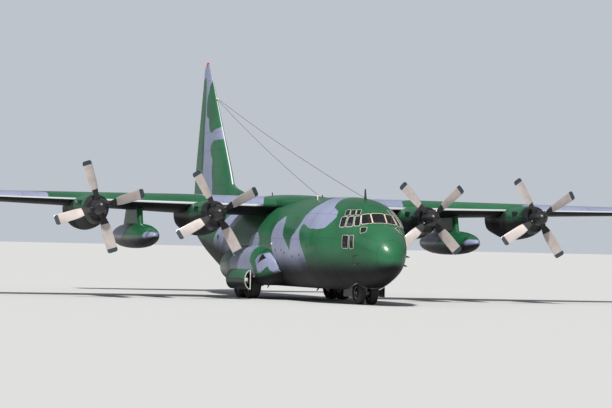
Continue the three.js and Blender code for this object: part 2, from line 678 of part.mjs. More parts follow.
function aftDoorLine(reach) {
  const [y, z] = alongKeel((AFT_DOOR.rearY - KEEL_START.y) / Math.cos(KEEL_SLOPE) - 0.12, 0.1);
  const half = AFT_DOOR.halfWidth[1] + reach;
  return [vec(-half, y, z), vec(half, y, z)];
}

const aftDoor = () => join(outer(19, 27).intersect(aftDoorPrism(0)), pinsOf(aftDoorLine));

const PARATROOP_DOOR = { y0: 17.72, y1: 18.63, z0: 1.45, z1: 3.25 };

function paratroopHole(side, grow) {
  const { y0, y1, z0, z1 } = PARATROOP_DOOR;
  const x = [SIDE[side] * 1.0, SIDE[side] * 2.6].sort((a, b) => a - b);
  return box([x[0], y0 - grow, z0 - grow], [x[1], y1 + grow, z1 + grow]);
}

function aftShell() {
  const skin = cut(outer(BARREL_REAR + FIT, TAIL_JOINT - FIT), hollow);
  const doors = [rampPrism(RUNNING), pinHole(rampLine), aftDoorPrism(RUNNING), pinHole(aftDoorLine)];
  return largest(cut(skin, ...doors, RAMP_SWEEP, paratroopHole("port", FIT), paratroopHole("starboard", FIT)));
}

const paratroopDoor = (side) => cut(outer(18, 20), hollow).intersect(paratroopHole(side, 0));

const tailCone = () => outer(TAIL_JOINT, LENGTH);

// Fairing over the wing root
function rootFairing() {
  const stations = [
    { y: 9.6, w: 0.5, top: 4.6 },
    { y: 11.3, w: 1.35, top: 4.7 },
    { y: 13.0, w: 1.5, top: 4.76 },
    { y: 15.0, w: 1.4, top: 4.73 },
    { y: 17.0, w: 0.9, top: 4.64 },
  ];
  const rings = stations.map(({ y, w, top }) => [
    vec(-w, y, 3.9),
    vec(-w, y, 4.3),
    vec(-w * 0.7, y, top - 0.12),
    vec(-w * 0.35, y, top - 0.03),
    vec(0, y, top),
    vec(w * 0.35, y, top - 0.03),
    vec(w * 0.7, y, top - 0.12),
    vec(w, y, 4.3),
    vec(w, y, 3.9),
  ]);
  return cut(loft(rings), bodyBetween(9, 17.59, -FIT), WING_CUTTER);
}

// Sponsons with open wheel wells, legs, wheels and the long doors that hang beside them
const SPONSON = [
  { y: 9.3, out: 2.02, top: 1.62, low: 1.2 },
  { y: 9.45, out: 2.15, top: 1.85, low: 1.08 },
  { y: 9.7, out: 2.32, top: 2.03, low: 0.9 },
  { y: 10.2, out: 2.5, top: 2.24, low: 0.7 },
  { y: 11.0, out: 2.62, top: 2.4, low: 0.63 },
  { y: 12.0, out: 2.66, top: 2.44, low: 0.62 },
  { y: 14.6, out: 2.66, top: 2.42, low: 0.62 },
  { y: 16.2, out: 2.5, top: 2.2, low: 0.75 },
  { y: 17.4, out: 2.2, top: 1.7, low: 1.1 },
];

function sponsonRing({ y, out, top, low }, side) {
  const middle = (top + low) / 2;
  const half = (top - low) / 2;
  const outline = Array.from({ length: 11 }, (_, i) => {
    const turn = Math.PI * (0.5 - i / 10);
    const across = Math.cos(turn) ** 0.7;
    const up = Math.sign(Math.sin(turn)) * Math.abs(Math.sin(turn)) ** 0.8;
    return vec(side * mix(1.75, out, across), y, middle + half * up);
  });
  return [vec(side * 1.4, y, top), ...outline, vec(side * 1.4, y, low)];
}

function sponson(side) {
  const s = SIDE[side];
  const { inner, wall, y0, y1, top } = WELL;
  const fairing = cut(loft(SPONSON.map((row) => sponsonRing(row, s))), bodyBetween(7, 18, -FIT));
  const lining = wellBlock(0)[s > 0 ? 0 : 1].intersect(box([-3, 0, 0.66], [3, 30, 2.4]));
  const roomX = [s * (inner + wall), s * 3].sort((a, b) => a - b);
  const room = box([roomX[0], y0 + wall, 0], [roomX[1], y1 - wall, 1.1]);
  const atticX = [s * (inner + wall), s * 2.5].sort((a, b) => a - b);
  const attic = box([atticX[0], y0 + wall, 1], [atticX[1], y1 - wall, top - wall]);
  return cut(join(fairing, lining), room, attic);
}

const LEG = { x: 1.74, radius: 0.09, axle: 0.07 };

function mainLeg(side, row) {
  const s = SIDE[side];
  const y = MAIN_WHEEL.rows[row];
  const z = MAIN_WHEEL.radius;
  const post = rod(vec(s * LEG.x, y, z), vec(s * LEG.x, y, WELL.top - WELL.wall - FIT), LEG.radius);
  const foot = rod(vec(s * LEG.x, y, z - 0.12), vec(s * LEG.x, y, z + 0.4), LEG.radius * 1.25);
  const axle = rod(vec(s * LEG.x, y, z), vec(s * 2.4, y, z), LEG.axle);
  return join(post, foot, axle);
}

// A wheel with its tyre, turned about x, with a bore for the axle
function wheelSolid({ centre, radius, width, axle }) {
  const half = width / 2;
  const rim = radius * 0.52;
  const hole = boreRadius(axle, WHEEL_SIDES);
  const profile = [
    [hole, -half * 0.6],
    [rim * 0.9, -half * 0.6],
    [radius * 0.8, -half],
    [radius, -half * 0.6],
    [radius, half * 0.6],
    [radius * 0.8, half],
    [rim * 0.9, half * 0.6],
    [hole, half * 0.6],
    [hole, -half * 0.6],
  ];
  return turned(profile, centre, vec(1, 0, 0));
}

function mainWheel(side, row) {
  const { x, radius, width, rows } = MAIN_WHEEL;
  const centre = vec(SIDE[side] * x, rows[row], radius);
  return wheelSolid({ centre, radius, width, axle: LEG.axle });
}

// A bulged hollow panel hanging from the sponson's lower edge, its curved skin outboard
const MAIN_DOOR = { y0: 11.05, y1: 14.6, top: 1.32, low: 0.42, inner: 2.643, bulge: 0.36, wall: 0.05 };

function mainDoor(side) {
  const { y0, y1, top, low, inner, bulge, wall } = MAIN_DOOR;
  const s = SIDE[side];
  const bow = (inset) => {
    const half = (top - low) / 2 - inset;
    return Array.from({ length: 11 }, (_, i) => {
      const turn = Math.PI * (0.5 - i / 10);
      return [s * (inner + (bulge - inset) * Math.cos(turn)), (top + low) / 2 + half * Math.sin(turn)];
    });
  };
  return cut(plateY(bow(0), y0, y1), plateY(bow(wall), y0 - 0.1, y1 - wall));
}

// Nose gear
const NOSE_AXLE = 0.05;
const NOSE_LEG = { radius: 0.09, pistonRadius: 0.06, turnZ: 0.98 };

function noseLeg() {
  const { y } = NOSE_WHEEL;
  const barrel = rod(vec(0, y, NOSE_LEG.turnZ), vec(0, y, NOSE_WELL.top - NOSE_WELL.wall - FIT), NOSE_LEG.radius);
  const brace = rod(vec(0, y, 1.1), vec(0, NOSE_WELL.y1 - NOSE_WELL.wall - 0.03, 1.3), 0.04);
  const socket = bore(vec(0, y, NOSE_LEG.turnZ - 0.1), vec(0, y, NOSE_LEG.turnZ + 0.2), NOSE_LEG.pistonRadius);
  return cut(join(barrel, brace), socket);
}

function noseFork() {
  const { y, radius, spacing, width } = NOSE_WHEEL;
  const piston = rod(vec(0, y, radius), vec(0, y, NOSE_LEG.turnZ + 0.18), NOSE_LEG.pistonRadius);
  const collar = rod(vec(0, y, radius - 0.09), vec(0, y, radius + 0.25), 0.085);
  const half = spacing / 2 + width / 2 - 0.02;
  const axle = rod(vec(-half, y, radius), vec(half, y, radius), NOSE_AXLE);
  return join(piston, collar, axle);
}

function noseWheel(side) {
  const { y, radius, spacing, width } = NOSE_WHEEL;
  const centre = vec((SIDE[side] * spacing) / 2, y, radius);
  return wheelSolid({ centre, radius, width, axle: NOSE_AXLE });
}

const NOSE_DOOR = { inner: 0.7, thick: 0.035, y0: 3.0, y1: 4.1, low: 0.33, top: 0.9 };

function noseDoor(side) {
  const { inner, thick, y0, y1, low, top } = NOSE_DOOR;
  const x = [SIDE[side] * inner, SIDE[side] * (inner + thick)].sort((a, b) => a - b);
  return cut(box([x[0], y0, low], [x[1], y1, top]), bodyBetween(RADOME_JOINT, COCKPIT_REAR, -FIT));
}

// Engines
const SHAFT = 0.09;
const ENGINES = {
  port_outer: { x: ENGINE_X.outer, z: 3.93, tail: 14.35, blade: 57 },
  port_inner: { x: ENGINE_X.inner, z: 3.79, tail: 14.7, blade: 47 },
  starboard_inner: { x: -ENGINE_X.inner, z: 3.79, tail: 14.7, blade: 60 },
  starboard_outer: { x: -ENGINE_X.outer, z: 3.93, tail: 14.35, blade: 72 },
};

// Nacelle sections: share of the length, half width, and reach above and below the propeller's axis
const NACELLE_FRONT = 9.06;
const NACELLE = [
  { share: 0, w: 0.5, up: 0.5, down: 0.62 },
  { share: 0.08, w: 0.55, up: 0.55, down: 0.78 },
  { share: 0.24, w: 0.57, up: 0.56, down: 0.93 },
  { share: 0.45, w: 0.57, up: 0.5, down: 1.0 },
  { share: 0.7, w: 0.52, up: 0.4, down: 0.92 },
  { share: 0.9, w: 0.42, up: 0.3, down: 0.72 },
  { share: 1, w: 0.34, up: 0.2, down: 0.6 },
];

function nacelle({ x, z, tail }) {
  const rings = NACELLE.map(({ share, w, up, down }) =>
    Array.from({ length: 14 }, (_, i) => {
      const turn = (2 * Math.PI * i) / 14;
      const rise = Math.sin(turn);
      const y = mix(NACELLE_FRONT, tail, share);
      return vec(x + w * Math.cos(turn), y, z + rise * (rise > 0 ? up : down));
    }),
  );
  const shaftHole = bore(vec(x, 9.0, z), vec(x, 9.3, z), SHAFT);
  const intake = rod(vec(x, 8.9, z - 0.46), vec(x, 9.6, z - 0.5), 0.11, 0.08);
  return cut(loft(rings), WING_CUTTER, shaftHole, intake);
}

// Blade rows: distance from the axis, chord, thickness and pitch
const BLADE = [
  { r: 0.22, chord: 0.2, thick: 0.16, pitch: 50 },
  { r: 0.6, chord: 0.34, thick: 0.1, pitch: 38 },
  { r: 1.1, chord: 0.46, thick: 0.06, pitch: 26 },
  { r: 1.95, chord: 0.46, thick: 0.028, pitch: 14 },
  { r: PROP_RADIUS, chord: 0.3, thick: 0.02, pitch: 12 },
];

function blade() {
  const rings = BLADE.map(({ r, chord, thick, pitch }) =>
    Array.from({ length: 6 }, (_, i) => {
      const turn = (2 * Math.PI * i) / 6;
      const [across, out] = [(chord / 2) * Math.cos(turn), (thick / 2) * Math.sin(turn)];
      const angle = radians(pitch);
      return vec(across * Math.cos(angle) - out * Math.sin(angle), across * Math.sin(angle) + out * Math.cos(angle), r);
    }),
  );
  return loft(rings);
}

function propeller({ x, z, blade: angle }) {
  const spinner = turned(
    [[0, -0.65], [0.12, -0.6], [0.24, -0.44], [0.33, -0.2], [0.37, 0.05], [0.38, 0.27], [0, 0.27]],
    vec(0, 0, 0),
    vec(0, 1, 0),
    12,
  );
  const shaft = rod(vec(0, 0.2, 0), vec(0, 0.5, 0), SHAFT);
  const blades = Array.from({ length: 4 }, (_, i) => blade().rotate([0, angle + 90 * i, 0]));
  return join(spinner, shaft, ...blades).translate([x, PROP_PLANE, z]);
}

// External tanks and their pylons
const TANK = { x: 7.6, nose: 9.3, length: 7.1, radius: 0.56, z: 2.73 };

// The tank's solid, grown a little where it cuts what carries it
function tank(side, grow = 0) {
  const { x, nose, length, radius, z } = TANK;
  const profile = [[0, 0]];
  for (const share of [0.01, 0.05, 0.15, 0.3, 0.5, 0.7, 0.85, 0.95, 0.99]) {
    profile.push([radius * (1 - Math.abs(2 * share - 1) ** 2.6) ** 0.6 + grow, share * length]);
  }
  profile.push([0, length]);
  return turned(profile, vec(SIDE[side] * x, nose, z), vec(0, 1, 0), 16);
}

// Pylon sections: height, front and rear edge, and half width
const PYLON = [
  { z: 2.9, front: 11.75, rear: 15.1, half: 0.13 },
  { z: 4.3, front: 12.15, rear: 14.45, half: 0.13 },
];
const PYLON_SHARES = [0.12, 0.5, 0.9];

function pylon(side) {
  const x = SIDE[side] * TANK.x;
  const rings = PYLON.map(({ z, front, rear, half }) => {
    const flank = (width, shares) => shares.map((share) => vec(x + width, mix(front, rear, share), z));
    const [port, starboard] = [flank(half, PYLON_SHARES), flank(-half, PYLON_SHARES.toReversed())];
    return [vec(x, front, z), ...port, vec(x, rear, z), ...starboard];
  });
  return largest(cut(loft(rings), WING_CUTTER, tank(side, FIT), box([-30, 11, 4.1], [30, 16, 5])));
}

// The whole aeroplane
const plane = new THREE.Group();
plane.scale.setScalar(MODEL_MM_PER_METRE);
plane.position.set(0, (-LENGTH / 2) * MODEL_MM_PER_METRE, 0);

function place(name, solid, material) {
  const mesh = new THREE.Mesh(geometryOf(solid), material);
  mesh.name = name;
  plane.add(mesh);
}

place("nose_radome", radome(), PAINT.green);
place("cockpit_shell", cockpitShell(), PAINT.green);
place("cockpit_glazing", glazing(), PAINT.glass);
place("flight_deck", flightDeck(), PAINT.dark);
place("crew_door", crewDoor(), PAINT.green);
place("nose_wheel_well", noseWell(), PAINT.white);
place("barrel_shell", barrelShell(), PAINT.green);
place("cargo_floor", cargoFloor(), PAINT.steel);
place("aft_shell", aftShell(), PAINT.green);
place("cargo_ramp", ramp(), PAINT.grey);
place("aft_cargo_door", aftDoor(), PAINT.grey);
place("tail_cone", tailCone(), PAINT.green);
place("wing_root_fairing", rootFairing(), PAINT.green);
place("wing_centre", wingCentre(), PAINT.grey);
place("fin", fin(), PAINT.green);
place("rudder", RUDDER.solid, PAINT.green);
place("nose_leg", noseLeg(), PAINT.white);
place("nose_fork", noseFork(), PAINT.steel);
for (const side of Object.keys(SIDE)) {
  place(`wing_outer_${side}`, wingOuter(side), PAINT.grey);
  for (const [name, piece] of Object.entries(WINGS[side].pieces)) {
    place(`${name}_${side}`, piece.solid, PAINT.grey);
  }
  place(`tailplane_${side}`, tailplane(side), PAINT.green);
  place(`elevator_${side}`, TAILS[side].elevator.solid, PAINT.green);
  place(`paratroop_door_${side}`, paratroopDoor(side), PAINT.green);
  place(`sponson_${side}`, sponson(side), PAINT.grey);
  place(`main_gear_door_${side}`, mainDoor(side), PAINT.green);
  for (const row of Object.keys(MAIN_WHEEL.rows)) {
    place(`main_leg_${side}_${row}`, mainLeg(side, row), PAINT.white);
    place(`main_wheel_${side}_${row}`, mainWheel(side, row), PAINT.rubber);
  }
  place(`nose_wheel_${side}`, noseWheel(side), PAINT.rubber);
  place(`nose_gear_door_${side}`, noseDoor(side), PAINT.green);
  place(`tank_${side}`, tank(side), PAINT.grey);
  place(`tank_pylon_${side}`, pylon(side), PAINT.green);
}
for (const [name, engine] of Object.entries(ENGINES)) {
  place(`nacelle_${name}`, nacelle(engine), PAINT.green);
  place(`propeller_${name}`, propeller(engine), PAINT.blade);
}

export default plane;
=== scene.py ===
"""Looks of the half-scale military transport plane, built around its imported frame.

Sizes are metres of the full-size aeroplane: x to port, y aft of the nose tip, z up from the ground.
to_model halves them and puts the origin under the middle of the box, as in the frame.
"""

import logging
import math
from collections.abc import Callable, Sequence
from dataclasses import dataclass, field, replace
from enum import Enum
from typing import Any

import bpy
import numpy as np
from mathutils import Matrix, Vector


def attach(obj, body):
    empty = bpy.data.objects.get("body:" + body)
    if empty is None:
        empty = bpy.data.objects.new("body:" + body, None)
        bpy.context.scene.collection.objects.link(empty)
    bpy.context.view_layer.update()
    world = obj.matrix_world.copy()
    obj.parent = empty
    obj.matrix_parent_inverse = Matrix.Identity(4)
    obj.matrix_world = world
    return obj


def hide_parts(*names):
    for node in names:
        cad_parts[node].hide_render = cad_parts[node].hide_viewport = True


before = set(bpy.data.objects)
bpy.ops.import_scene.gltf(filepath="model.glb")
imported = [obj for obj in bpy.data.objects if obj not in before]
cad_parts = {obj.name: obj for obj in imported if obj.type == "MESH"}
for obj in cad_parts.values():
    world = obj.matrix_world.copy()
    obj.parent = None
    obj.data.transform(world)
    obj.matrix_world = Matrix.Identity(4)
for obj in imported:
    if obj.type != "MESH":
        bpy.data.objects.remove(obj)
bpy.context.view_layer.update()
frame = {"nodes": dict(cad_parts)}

log = logging.getLogger("transport")

LENGTH = 29.79
HEIGHT = 11.66
HALF_SPAN = 20.205
SCALE = 0.5
# Gap beside a moving piece, and thickness of the fuselage's skin
RUNNING = 0.014
WALL = 0.12
TAU = 2 * math.pi


class Slot(Enum):
    """Material slots of the record."""

    GREEN = "green_paint"
    GREY = "grey_paint"
    WHITE = "white_paint"
    BLADE = "blade_paint"
    STEEL = "bright_steel"
    FLOOR = "floor_metal"
    TRIM = "cockpit_trim"
    GLASS = "window_glass"
    TYRE = "tyre"


class Side(Enum):
    """Sides of the aeroplane, with the sign of x."""

    port = 1
    starboard = -1


# Shaders
class Value:
    """A shader socket that Python expressions can use."""

    def __init__(self, graph: "Graph", socket: Any) -> None:
        """Wraps one socket of a graph."""
        self.graph = graph
        self.socket = socket

    def _math(self, operation: str, *others: Any) -> "Value":
        """Adds a Math node with this value first."""
        values = dict(enumerate((self, *others)))
        return self.graph.node("ShaderNodeMath", {"operation": operation}, values)

    def __add__(self, other: Any) -> "Value":
        """Sum."""
        return self._math("ADD", other)

    __radd__ = __add__

    def __mul__(self, other: Any) -> "Value":
        """Product."""
        return self._math("MULTIPLY", other)

    __rmul__ = __mul__

    def __sub__(self, other: Any) -> "Value":
        """Difference."""
        return self._math("SUBTRACT", other)

    def __rsub__(self, other: Any) -> "Value":
        """Difference from a number."""
        return self._math("MULTIPLY", -1.0) + other

    def above(self, other: Any) -> "Value":
        """The larger of two values."""
        return self._math("MAXIMUM", other)

    def to_line(self, pitch: float) -> "Value":
        """Distance to the nearest whole multiple of a pitch."""
        return self._math("PINGPONG", pitch / 2)

    def squared(self) -> "Value":
        """The value times itself."""
        return self._math("MULTIPLY", self)

    def rise(self, low: float, high: float) -> "Value":
        """0 below low, 1 above high and smooth between; with low over high it falls instead."""
        settings = {"interpolation_type": "SMOOTHSTEP", "clamp": True}
        if low < high:
            return self.graph.node("ShaderNodeMapRange", settings, {0: self, 1: low, 2: high})
        return self.graph.node("ShaderNodeMapRange", settings, {0: self, 1: high, 2: low, 3: 1.0, 4: 0.0})


class Graph:
    """The node tree of one material."""

    def __init__(self, name: str) -> None:
        """Starts an empty tree."""
        self.material = bpy.data.materials.new(name)
        self.material.use_nodes = True
        self.tree = self.material.node_tree
        self.tree.nodes.clear()

    def node(
        self, kind: str, settings: dict | None = None, inputs: dict | None = None, out: Any = 0
    ) -> Value:
        """Adds one node.

        Args:
            kind: the node's type.
            settings: properties that are set first.
            inputs: values or links, by socket name or number.
            out: name or number of the output that is returned.

        Returns:
            The chosen output.
        """
        made = self.tree.nodes.new(kind)
        for key, value in (settings or {}).items():
            setattr(made, key, value)
        for key, value in (inputs or {}).items():
            if isinstance(value, Value):
                self.tree.links.new(value.socket, made.inputs[key])
            else:
                made.inputs[key].default_value = value
        return Value(self, made.outputs[out])

    def place(self) -> Value:
        """Object coordinates."""
        return self.node("ShaderNodeTexCoord", out="Object")

    def noise(self, scale: float, detail: float = 3.0, vector: Value | None = None) -> Value:
        """Noise from 0 to 1 at a scale."""
        inputs = {"Vector": vector or self.place(), "Scale": scale, "Detail": detail}
        return self.node("ShaderNodeTexNoise", inputs=inputs)

    def mark(self, name: str) -> Value:
        """A number that each point of the mesh carries."""
        return self.node("ShaderNodeAttribute", {"attribute_name": name}, out="Fac")

    def unrolled(self) -> tuple[Value, Value]:
        """Distances along and around the skin, from the mesh's UV map."""
        uv = self.node("ShaderNodeUVMap", {"uv_map": "skin"})
        parts = self.node("ShaderNodeSeparateXYZ", inputs={0: uv})
        return parts, Value(self, parts.socket.node.outputs[1])

    def mix(self, first: Any, second: Any, share: Any) -> Value:
        """One colour over another."""
        return self.node("ShaderNodeMix", {"data_type": "RGBA"}, {0: share, 6: first, 7: second}, out=2)

    def bump(self, height: Value, depth: float, strength: float = 1.0) -> Value:
        """A normal from a height; depth is in metres of the model."""
        return self.node("ShaderNodeBump", inputs={"Height": height, "Distance": depth, "Strength": strength})

    def finish(self, **inputs: Any) -> bpy.types.Material:
        """Adds the surface shader; spaces in its socket names are written as underscores."""
        named = {key.replace("_", " "): value for key, value in inputs.items()}
        shader = self.node("ShaderNodeBsdfPrincipled", inputs=named)
        surface = self.tree.nodes.new("ShaderNodeOutputMaterial").inputs["Surface"]
        self.tree.links.new(shader.socket, surface)
        return self.material


def colour(red: float, green: float, blue: float) -> tuple[float, float, float, float]:
    """A colour with full alpha."""
    return (red, green, blue, 1.0)


def toned(base: tuple, factor: float, lift: float = 0.0) -> tuple[float, float, float, float]:
    """A colour made lighter or darker by a factor and a lift."""
    return colour(*(min(1.0, c * factor + lift) for c in base[:3]))


@dataclass(frozen=True)
class Camouflage:
    """Satin two-tone paint: painted shade below, painted highlights, seams, rivets, streaks, exhaust stains,
    rubbed edges.
    """

    name: str
    green: tuple = colour(0.011, 0.086, 0.036)
    grey: tuple = colour(0.235, 0.26, 0.385)
    # under is the painted shade's colour; the two numbers below say where on the down mark it begins and is
    # full.
    under: tuple = colour(0.004, 0.004, 0.006)
    painted_shade_from: float = 0.1
    painted_shade_to: float = 0.75
    pitch: tuple[float, float] = (1.016, 1.2)
    gloss: float = 0.36
    streaks: float = 0.5

    def build(self) -> bpy.types.Material:
        """Builds the material.

        The mark "camo" is the distance to the outline between the colours, positive on grey. Its edge
        wanders by a little noise. "down" is how far the skin faces the ground and brings in the painted
        shade,
        "soot" the exhaust stain and painted shade on nacelles and gear doors, "pale" a painted highlight on
        the leading edge, "wear" how rubbed the paint is and "inner" the primed inner face.
        Seams lie where a distance in the UV map is a whole multiple of the pitch, and rivets are dots
        beside them.
        """
        g = Graph(self.name)
        broad, fine = g.noise(0.9, 4.0), g.noise(14.0, 4.0)
        along, around = g.unrolled()
        grey = (g.mark("camo") + (g.noise(3.2, 3.0) - 0.5) * 0.14).rise(-0.022, 0.022)
        green = g.mix(self.green, toned(self.green, 1.42, 0.004), broad.rise(0.35, 0.7))
        slate = g.mix(self.grey, toned(self.grey, 0.84), broad.rise(0.4, 0.72))
        paint = g.mix(green, slate, grey)
        stretched = g.node("ShaderNodeCombineXYZ", inputs={0: along * 5.0, 1: around * 0.55})
        streak = g.noise(1.0, 5.0, stretched).rise(0.5, 0.78) * self.streaks
        paint = g.mix(paint, colour(0.035, 0.04, 0.04), streak * 0.4)
        hoop, stringer = along.to_line(self.pitch[0]), around.to_line(self.pitch[1])
        seam = hoop.rise(0.016, 0.004).above(stringer.rise(0.016, 0.004))
        dot = (hoop - 0.05).squared() + around.to_line(0.09).squared()
        rivet = dot.rise(0.00022, 0.00008)
        paint = g.mix(paint, colour(0.006, 0.012, 0.01), seam * 0.42)
        # Painted shade where the skin faces the ground; it also takes away the coat there.
        dark = (g.mark("down") + (broad - 0.5) * 0.25).rise(self.painted_shade_from, self.painted_shade_to)
        paint = g.mix(paint, self.under, dark)
        # Exhaust stain under the wing, and painted shade where the soot mark darkens nacelles and gear doors.
        soot = (g.mark("soot") * (0.55 + fine * 0.9)).rise(0.12, 1.0)
        paint = g.mix(paint, colour(0.012, 0.01, 0.01), soot * 0.85)
        # Painted highlight: the pale mark lightens a band along the leading edge.
        paint = g.mix(paint, colour(0.62, 0.64, 0.68), g.mark("pale"))
        chip = (fine * g.mark("wear")).rise(0.5, 0.62)
        paint = g.mix(paint, colour(0.36, 0.38, 0.4), chip * 0.6)
        paint = g.mix(paint, colour(0.2, 0.23, 0.2), g.mark("inner").rise(0.45, 0.55))
        rough = self.gloss + broad * 0.12 + streak * 0.16 + soot * 0.25 + dark * 0.16
        height = g.noise(2.4, 2.0) * 0.5 - seam - rivet * 0.5
        return g.finish(
            Base_Color=paint, Roughness=rough, Normal=g.bump(height, 0.0022, 0.6),
            Coat_Weight=(1.0 - dark) * 0.4, Coat_Roughness=0.22, Specular_IOR_Level=0.2,
        )


@dataclass(frozen=True)
class Enamel:
    """One-colour paint or moulding with uneven tone, grime and fine orange-peel."""

    name: str
    base: tuple
    rough: float = 0.45
    grime: float = 0.35
    metal: float = 0.0
    scale: float = 9.0
    coat: float = 0.1

    def build(self) -> bpy.types.Material:
        """Builds the material: two scales of noise darken the colour, roughen it and lift the surface."""
        g = Graph(self.name)
        broad, fine = g.noise(self.scale, 4.0), g.noise(self.scale * 9.0, 3.0)
        paint = g.mix(self.base, toned(self.base, 0.72), broad.rise(0.3, 0.75))
        dirt = broad.rise(0.52, 0.8) * fine.rise(0.35, 0.7) * self.grime
        paint = g.mix(paint, colour(0.03, 0.028, 0.025), dirt)
        rough = self.rough + (fine - 0.5) * 0.18 + broad.rise(0.5, 0.8) * 0.12
        normal = g.bump(fine + broad * 0.6, 0.0009, 0.5)
        return g.finish(
            Base_Color=paint, Roughness=rough, Metallic=self.metal, Normal=normal, Coat_Weight=self.coat,
        )


@dataclass(frozen=True)
class Rubber:
    """Tyre rubber, dusty on the tread and scuffed on the walls."""

    name: str

    def build(self) -> bpy.types.Material:
        """Builds the material: dust follows noise, and fine noise pits the surface."""
        g = Graph(self.name)
        broad, fine = g.noise(6.0, 5.0), g.noise(90.0, 3.0)
        base = g.mix(colour(0.016, 0.016, 0.018), colour(0.06, 0.057, 0.052), broad.rise(0.42, 0.75) * 0.7)
        base = g.mix(base, colour(0.11, 0.105, 0.095), g.mark("pale") * fine.rise(0.3, 0.7) * 0.5)
        rough = 0.72 + broad * 0.2
        return g.finish(Base_Color=base, Roughness=rough, Normal=g.bump(fine + broad, 0.0012, 0.6))


@dataclass(frozen=True)
class Glazing:
    """Dark cockpit glass with faint smears."""

    name: str
    base: tuple = colour(0.006, 0.008, 0.011)

    def build(self) -> bpy.types.Material:
        """Builds the material: smears are stretched noise in the roughness."""
        g = Graph(self.name)
        smear = g.noise(7.0, 5.0).rise(0.5, 0.85)
        base = g.mix(self.base, colour(0.03, 0.036, 0.045), smear * 0.6)
        rough = 0.035 + smear * 0.12
        return g.finish(Base_Color=base, Roughness=rough, Alpha=0.93, Coat_Weight=0.6, Coat_Roughness=0.03)


@dataclass(frozen=True)
class Woven:
    """Woven seat cover."""

    name: str
    base: tuple

    def build(self) -> bpy.types.Material:
        """Builds the material: crossed waves make the weave."""
        g = Graph(self.name)
        threads = {"Vector": g.place(), "Scale": 260.0}
        warp, weft = (g.node("ShaderNodeTexWave", {"bands_direction": way}, threads, "Fac") for way in "XZ")
        broad = g.noise(9.0, 4.0)
        base = g.mix(self.base, toned(self.base, 1.5), warp * weft * 0.6 + broad * 0.3)
        normal = g.bump(warp * weft, 0.0006, 0.6)
        return g.finish(Base_Color=base, Roughness=0.92 - broad * 0.1, Normal=normal)


@dataclass(frozen=True)
class BladePaint:
    """Pale warm propeller paint with dark tips, dark boots at the roots and rubbed leading edges."""

    name: str = "propeller_paint"

    def build(self) -> bpy.types.Material:
        """Builds the material: the mark "reach" is the distance from the axis, "lead" the leading edge."""
        g = Graph(self.name)
        reach = g.mark("reach")
        broad, fine = g.noise(5.0, 4.0), g.noise(60.0, 3.0)
        base = g.mix(colour(0.45, 0.4, 0.385), colour(0.36, 0.32, 0.305), broad.rise(0.35, 0.75))
        base = g.mix(base, colour(0.03, 0.045, 0.06), reach.rise(1.865, 1.875))
        boot = reach.rise(0.79, 0.77)
        base = g.mix(base, colour(0.018, 0.018, 0.02), boot)
        rub = (g.mark("lead") * (0.4 + fine)).rise(0.42, 0.8) * reach.rise(0.8, 1.2)
        base = g.mix(base, colour(0.5, 0.5, 0.52), rub)
        rough = 0.42 + broad * 0.15 + boot * 0.3 - rub * 0.15
        normal = g.bump(fine, 0.0004, 0.5)
        return g.finish(Base_Color=base, Roughness=rough, Metallic=rub * 0.8, Normal=normal)


class Finish(Enum):
    """Every finish of the aeroplane."""

    # The numbers for where each camouflage's painted shade begins and is full are read against the down mark;
    # the fin's are out of reach, so it has none.
    HULL = Camouflage("hull_camouflage", painted_shade_from=0.08, painted_shade_to=0.56)
    WING = Camouflage("wing_camouflage", painted_shade_from=0.0, painted_shade_to=0.25, pitch=(1.3, 0.62), streaks=0.35)
    COWL = Camouflage("cowl_camouflage", painted_shade_from=-0.12, painted_shade_to=0.16, pitch=(0.86, 0.7), streaks=0.7)
    FIN = Camouflage("fin_camouflage", painted_shade_from=2.0, painted_shade_to=3.0, pitch=(0.9, 1.1), streaks=0.3)
    TANK = Camouflage(
        "tank_camouflage", painted_shade_from=-0.1, painted_shade_to=0.5, pitch=(1.7, 9.0), gloss=0.26, streaks=0.4
    )
    BLACK = Enamel("black_cowl", colour(0.011, 0.011, 0.013), 0.38)
    DARK = Enamel("dark_lining", colour(0.03, 0.032, 0.035), 0.6, 0.5)
    CREAM = Enamel("cream_frame", colour(0.72, 0.68, 0.6), 0.45, 0.25, scale=14.0)
    ORANGE = Enamel("orange_seal", colour(0.5, 0.2, 0.06), 0.5, 0.2, scale=14.0)
    WHITE = Enamel("white_gear", colour(0.7, 0.71, 0.7), 0.4, 0.45)
    PRIMER = Enamel("hold_primer", colour(0.28, 0.31, 0.29), 0.55, 0.4, scale=3.0)
    STEEL = Enamel("polished_steel", colour(0.55, 0.56, 0.57), 0.28, 0.35, metal=0.95, coat=0.0)
    BURNT = Enamel("burnt_steel", colour(0.1, 0.075, 0.06), 0.5, 0.6, metal=0.8, coat=0.0)
    FLOOR = Enamel("deck_metal", colour(0.3, 0.31, 0.31), 0.42, 0.5, metal=0.6, scale=4.0, coat=0.0)
    RUST = Enamel("red_lens", colour(0.6, 0.03, 0.02), 0.15, 0.1, coat=0.8)
    LIME = Enamel("green_lens", colour(0.03, 0.45, 0.16), 0.15, 0.1, coat=0.8)
    LAMP = Enamel("clear_lens", colour(0.85, 0.86, 0.88), 0.12, 0.1, coat=0.8)
    TYRE = Rubber("tyre_rubber")
    GLASS = Glazing("cockpit_glass")
    CLOTH = Woven("seat_cloth", colour(0.05, 0.07, 0.05))
    BLADE = BladePaint()

    def material(self) -> bpy.types.Material:
        """The finish's material, built at its first use."""
        return bpy.data.materials.get(self.value.name) or self.value.build()


# Numbers and curves
def to_model(points: np.ndarray) -> np.ndarray:
    """Full-size places as places in the frame: halved, with the origin under the middle."""
    return (np.asarray(points, float) - (0.0, LENGTH / 2, 0.0)) * SCALE


def spread(*parts: Any) -> np.ndarray:
    """Numbers of unlike shapes widened to one grid and set side by side along a last axis."""
    return np.stack(np.broadcast_arrays(*parts), -1)


def all_round(count: int) -> np.ndarray:
    """Angles once round from straight below, the first one again at the end."""
    return np.linspace(-math.pi / 2, 1.5 * math.pi, count)


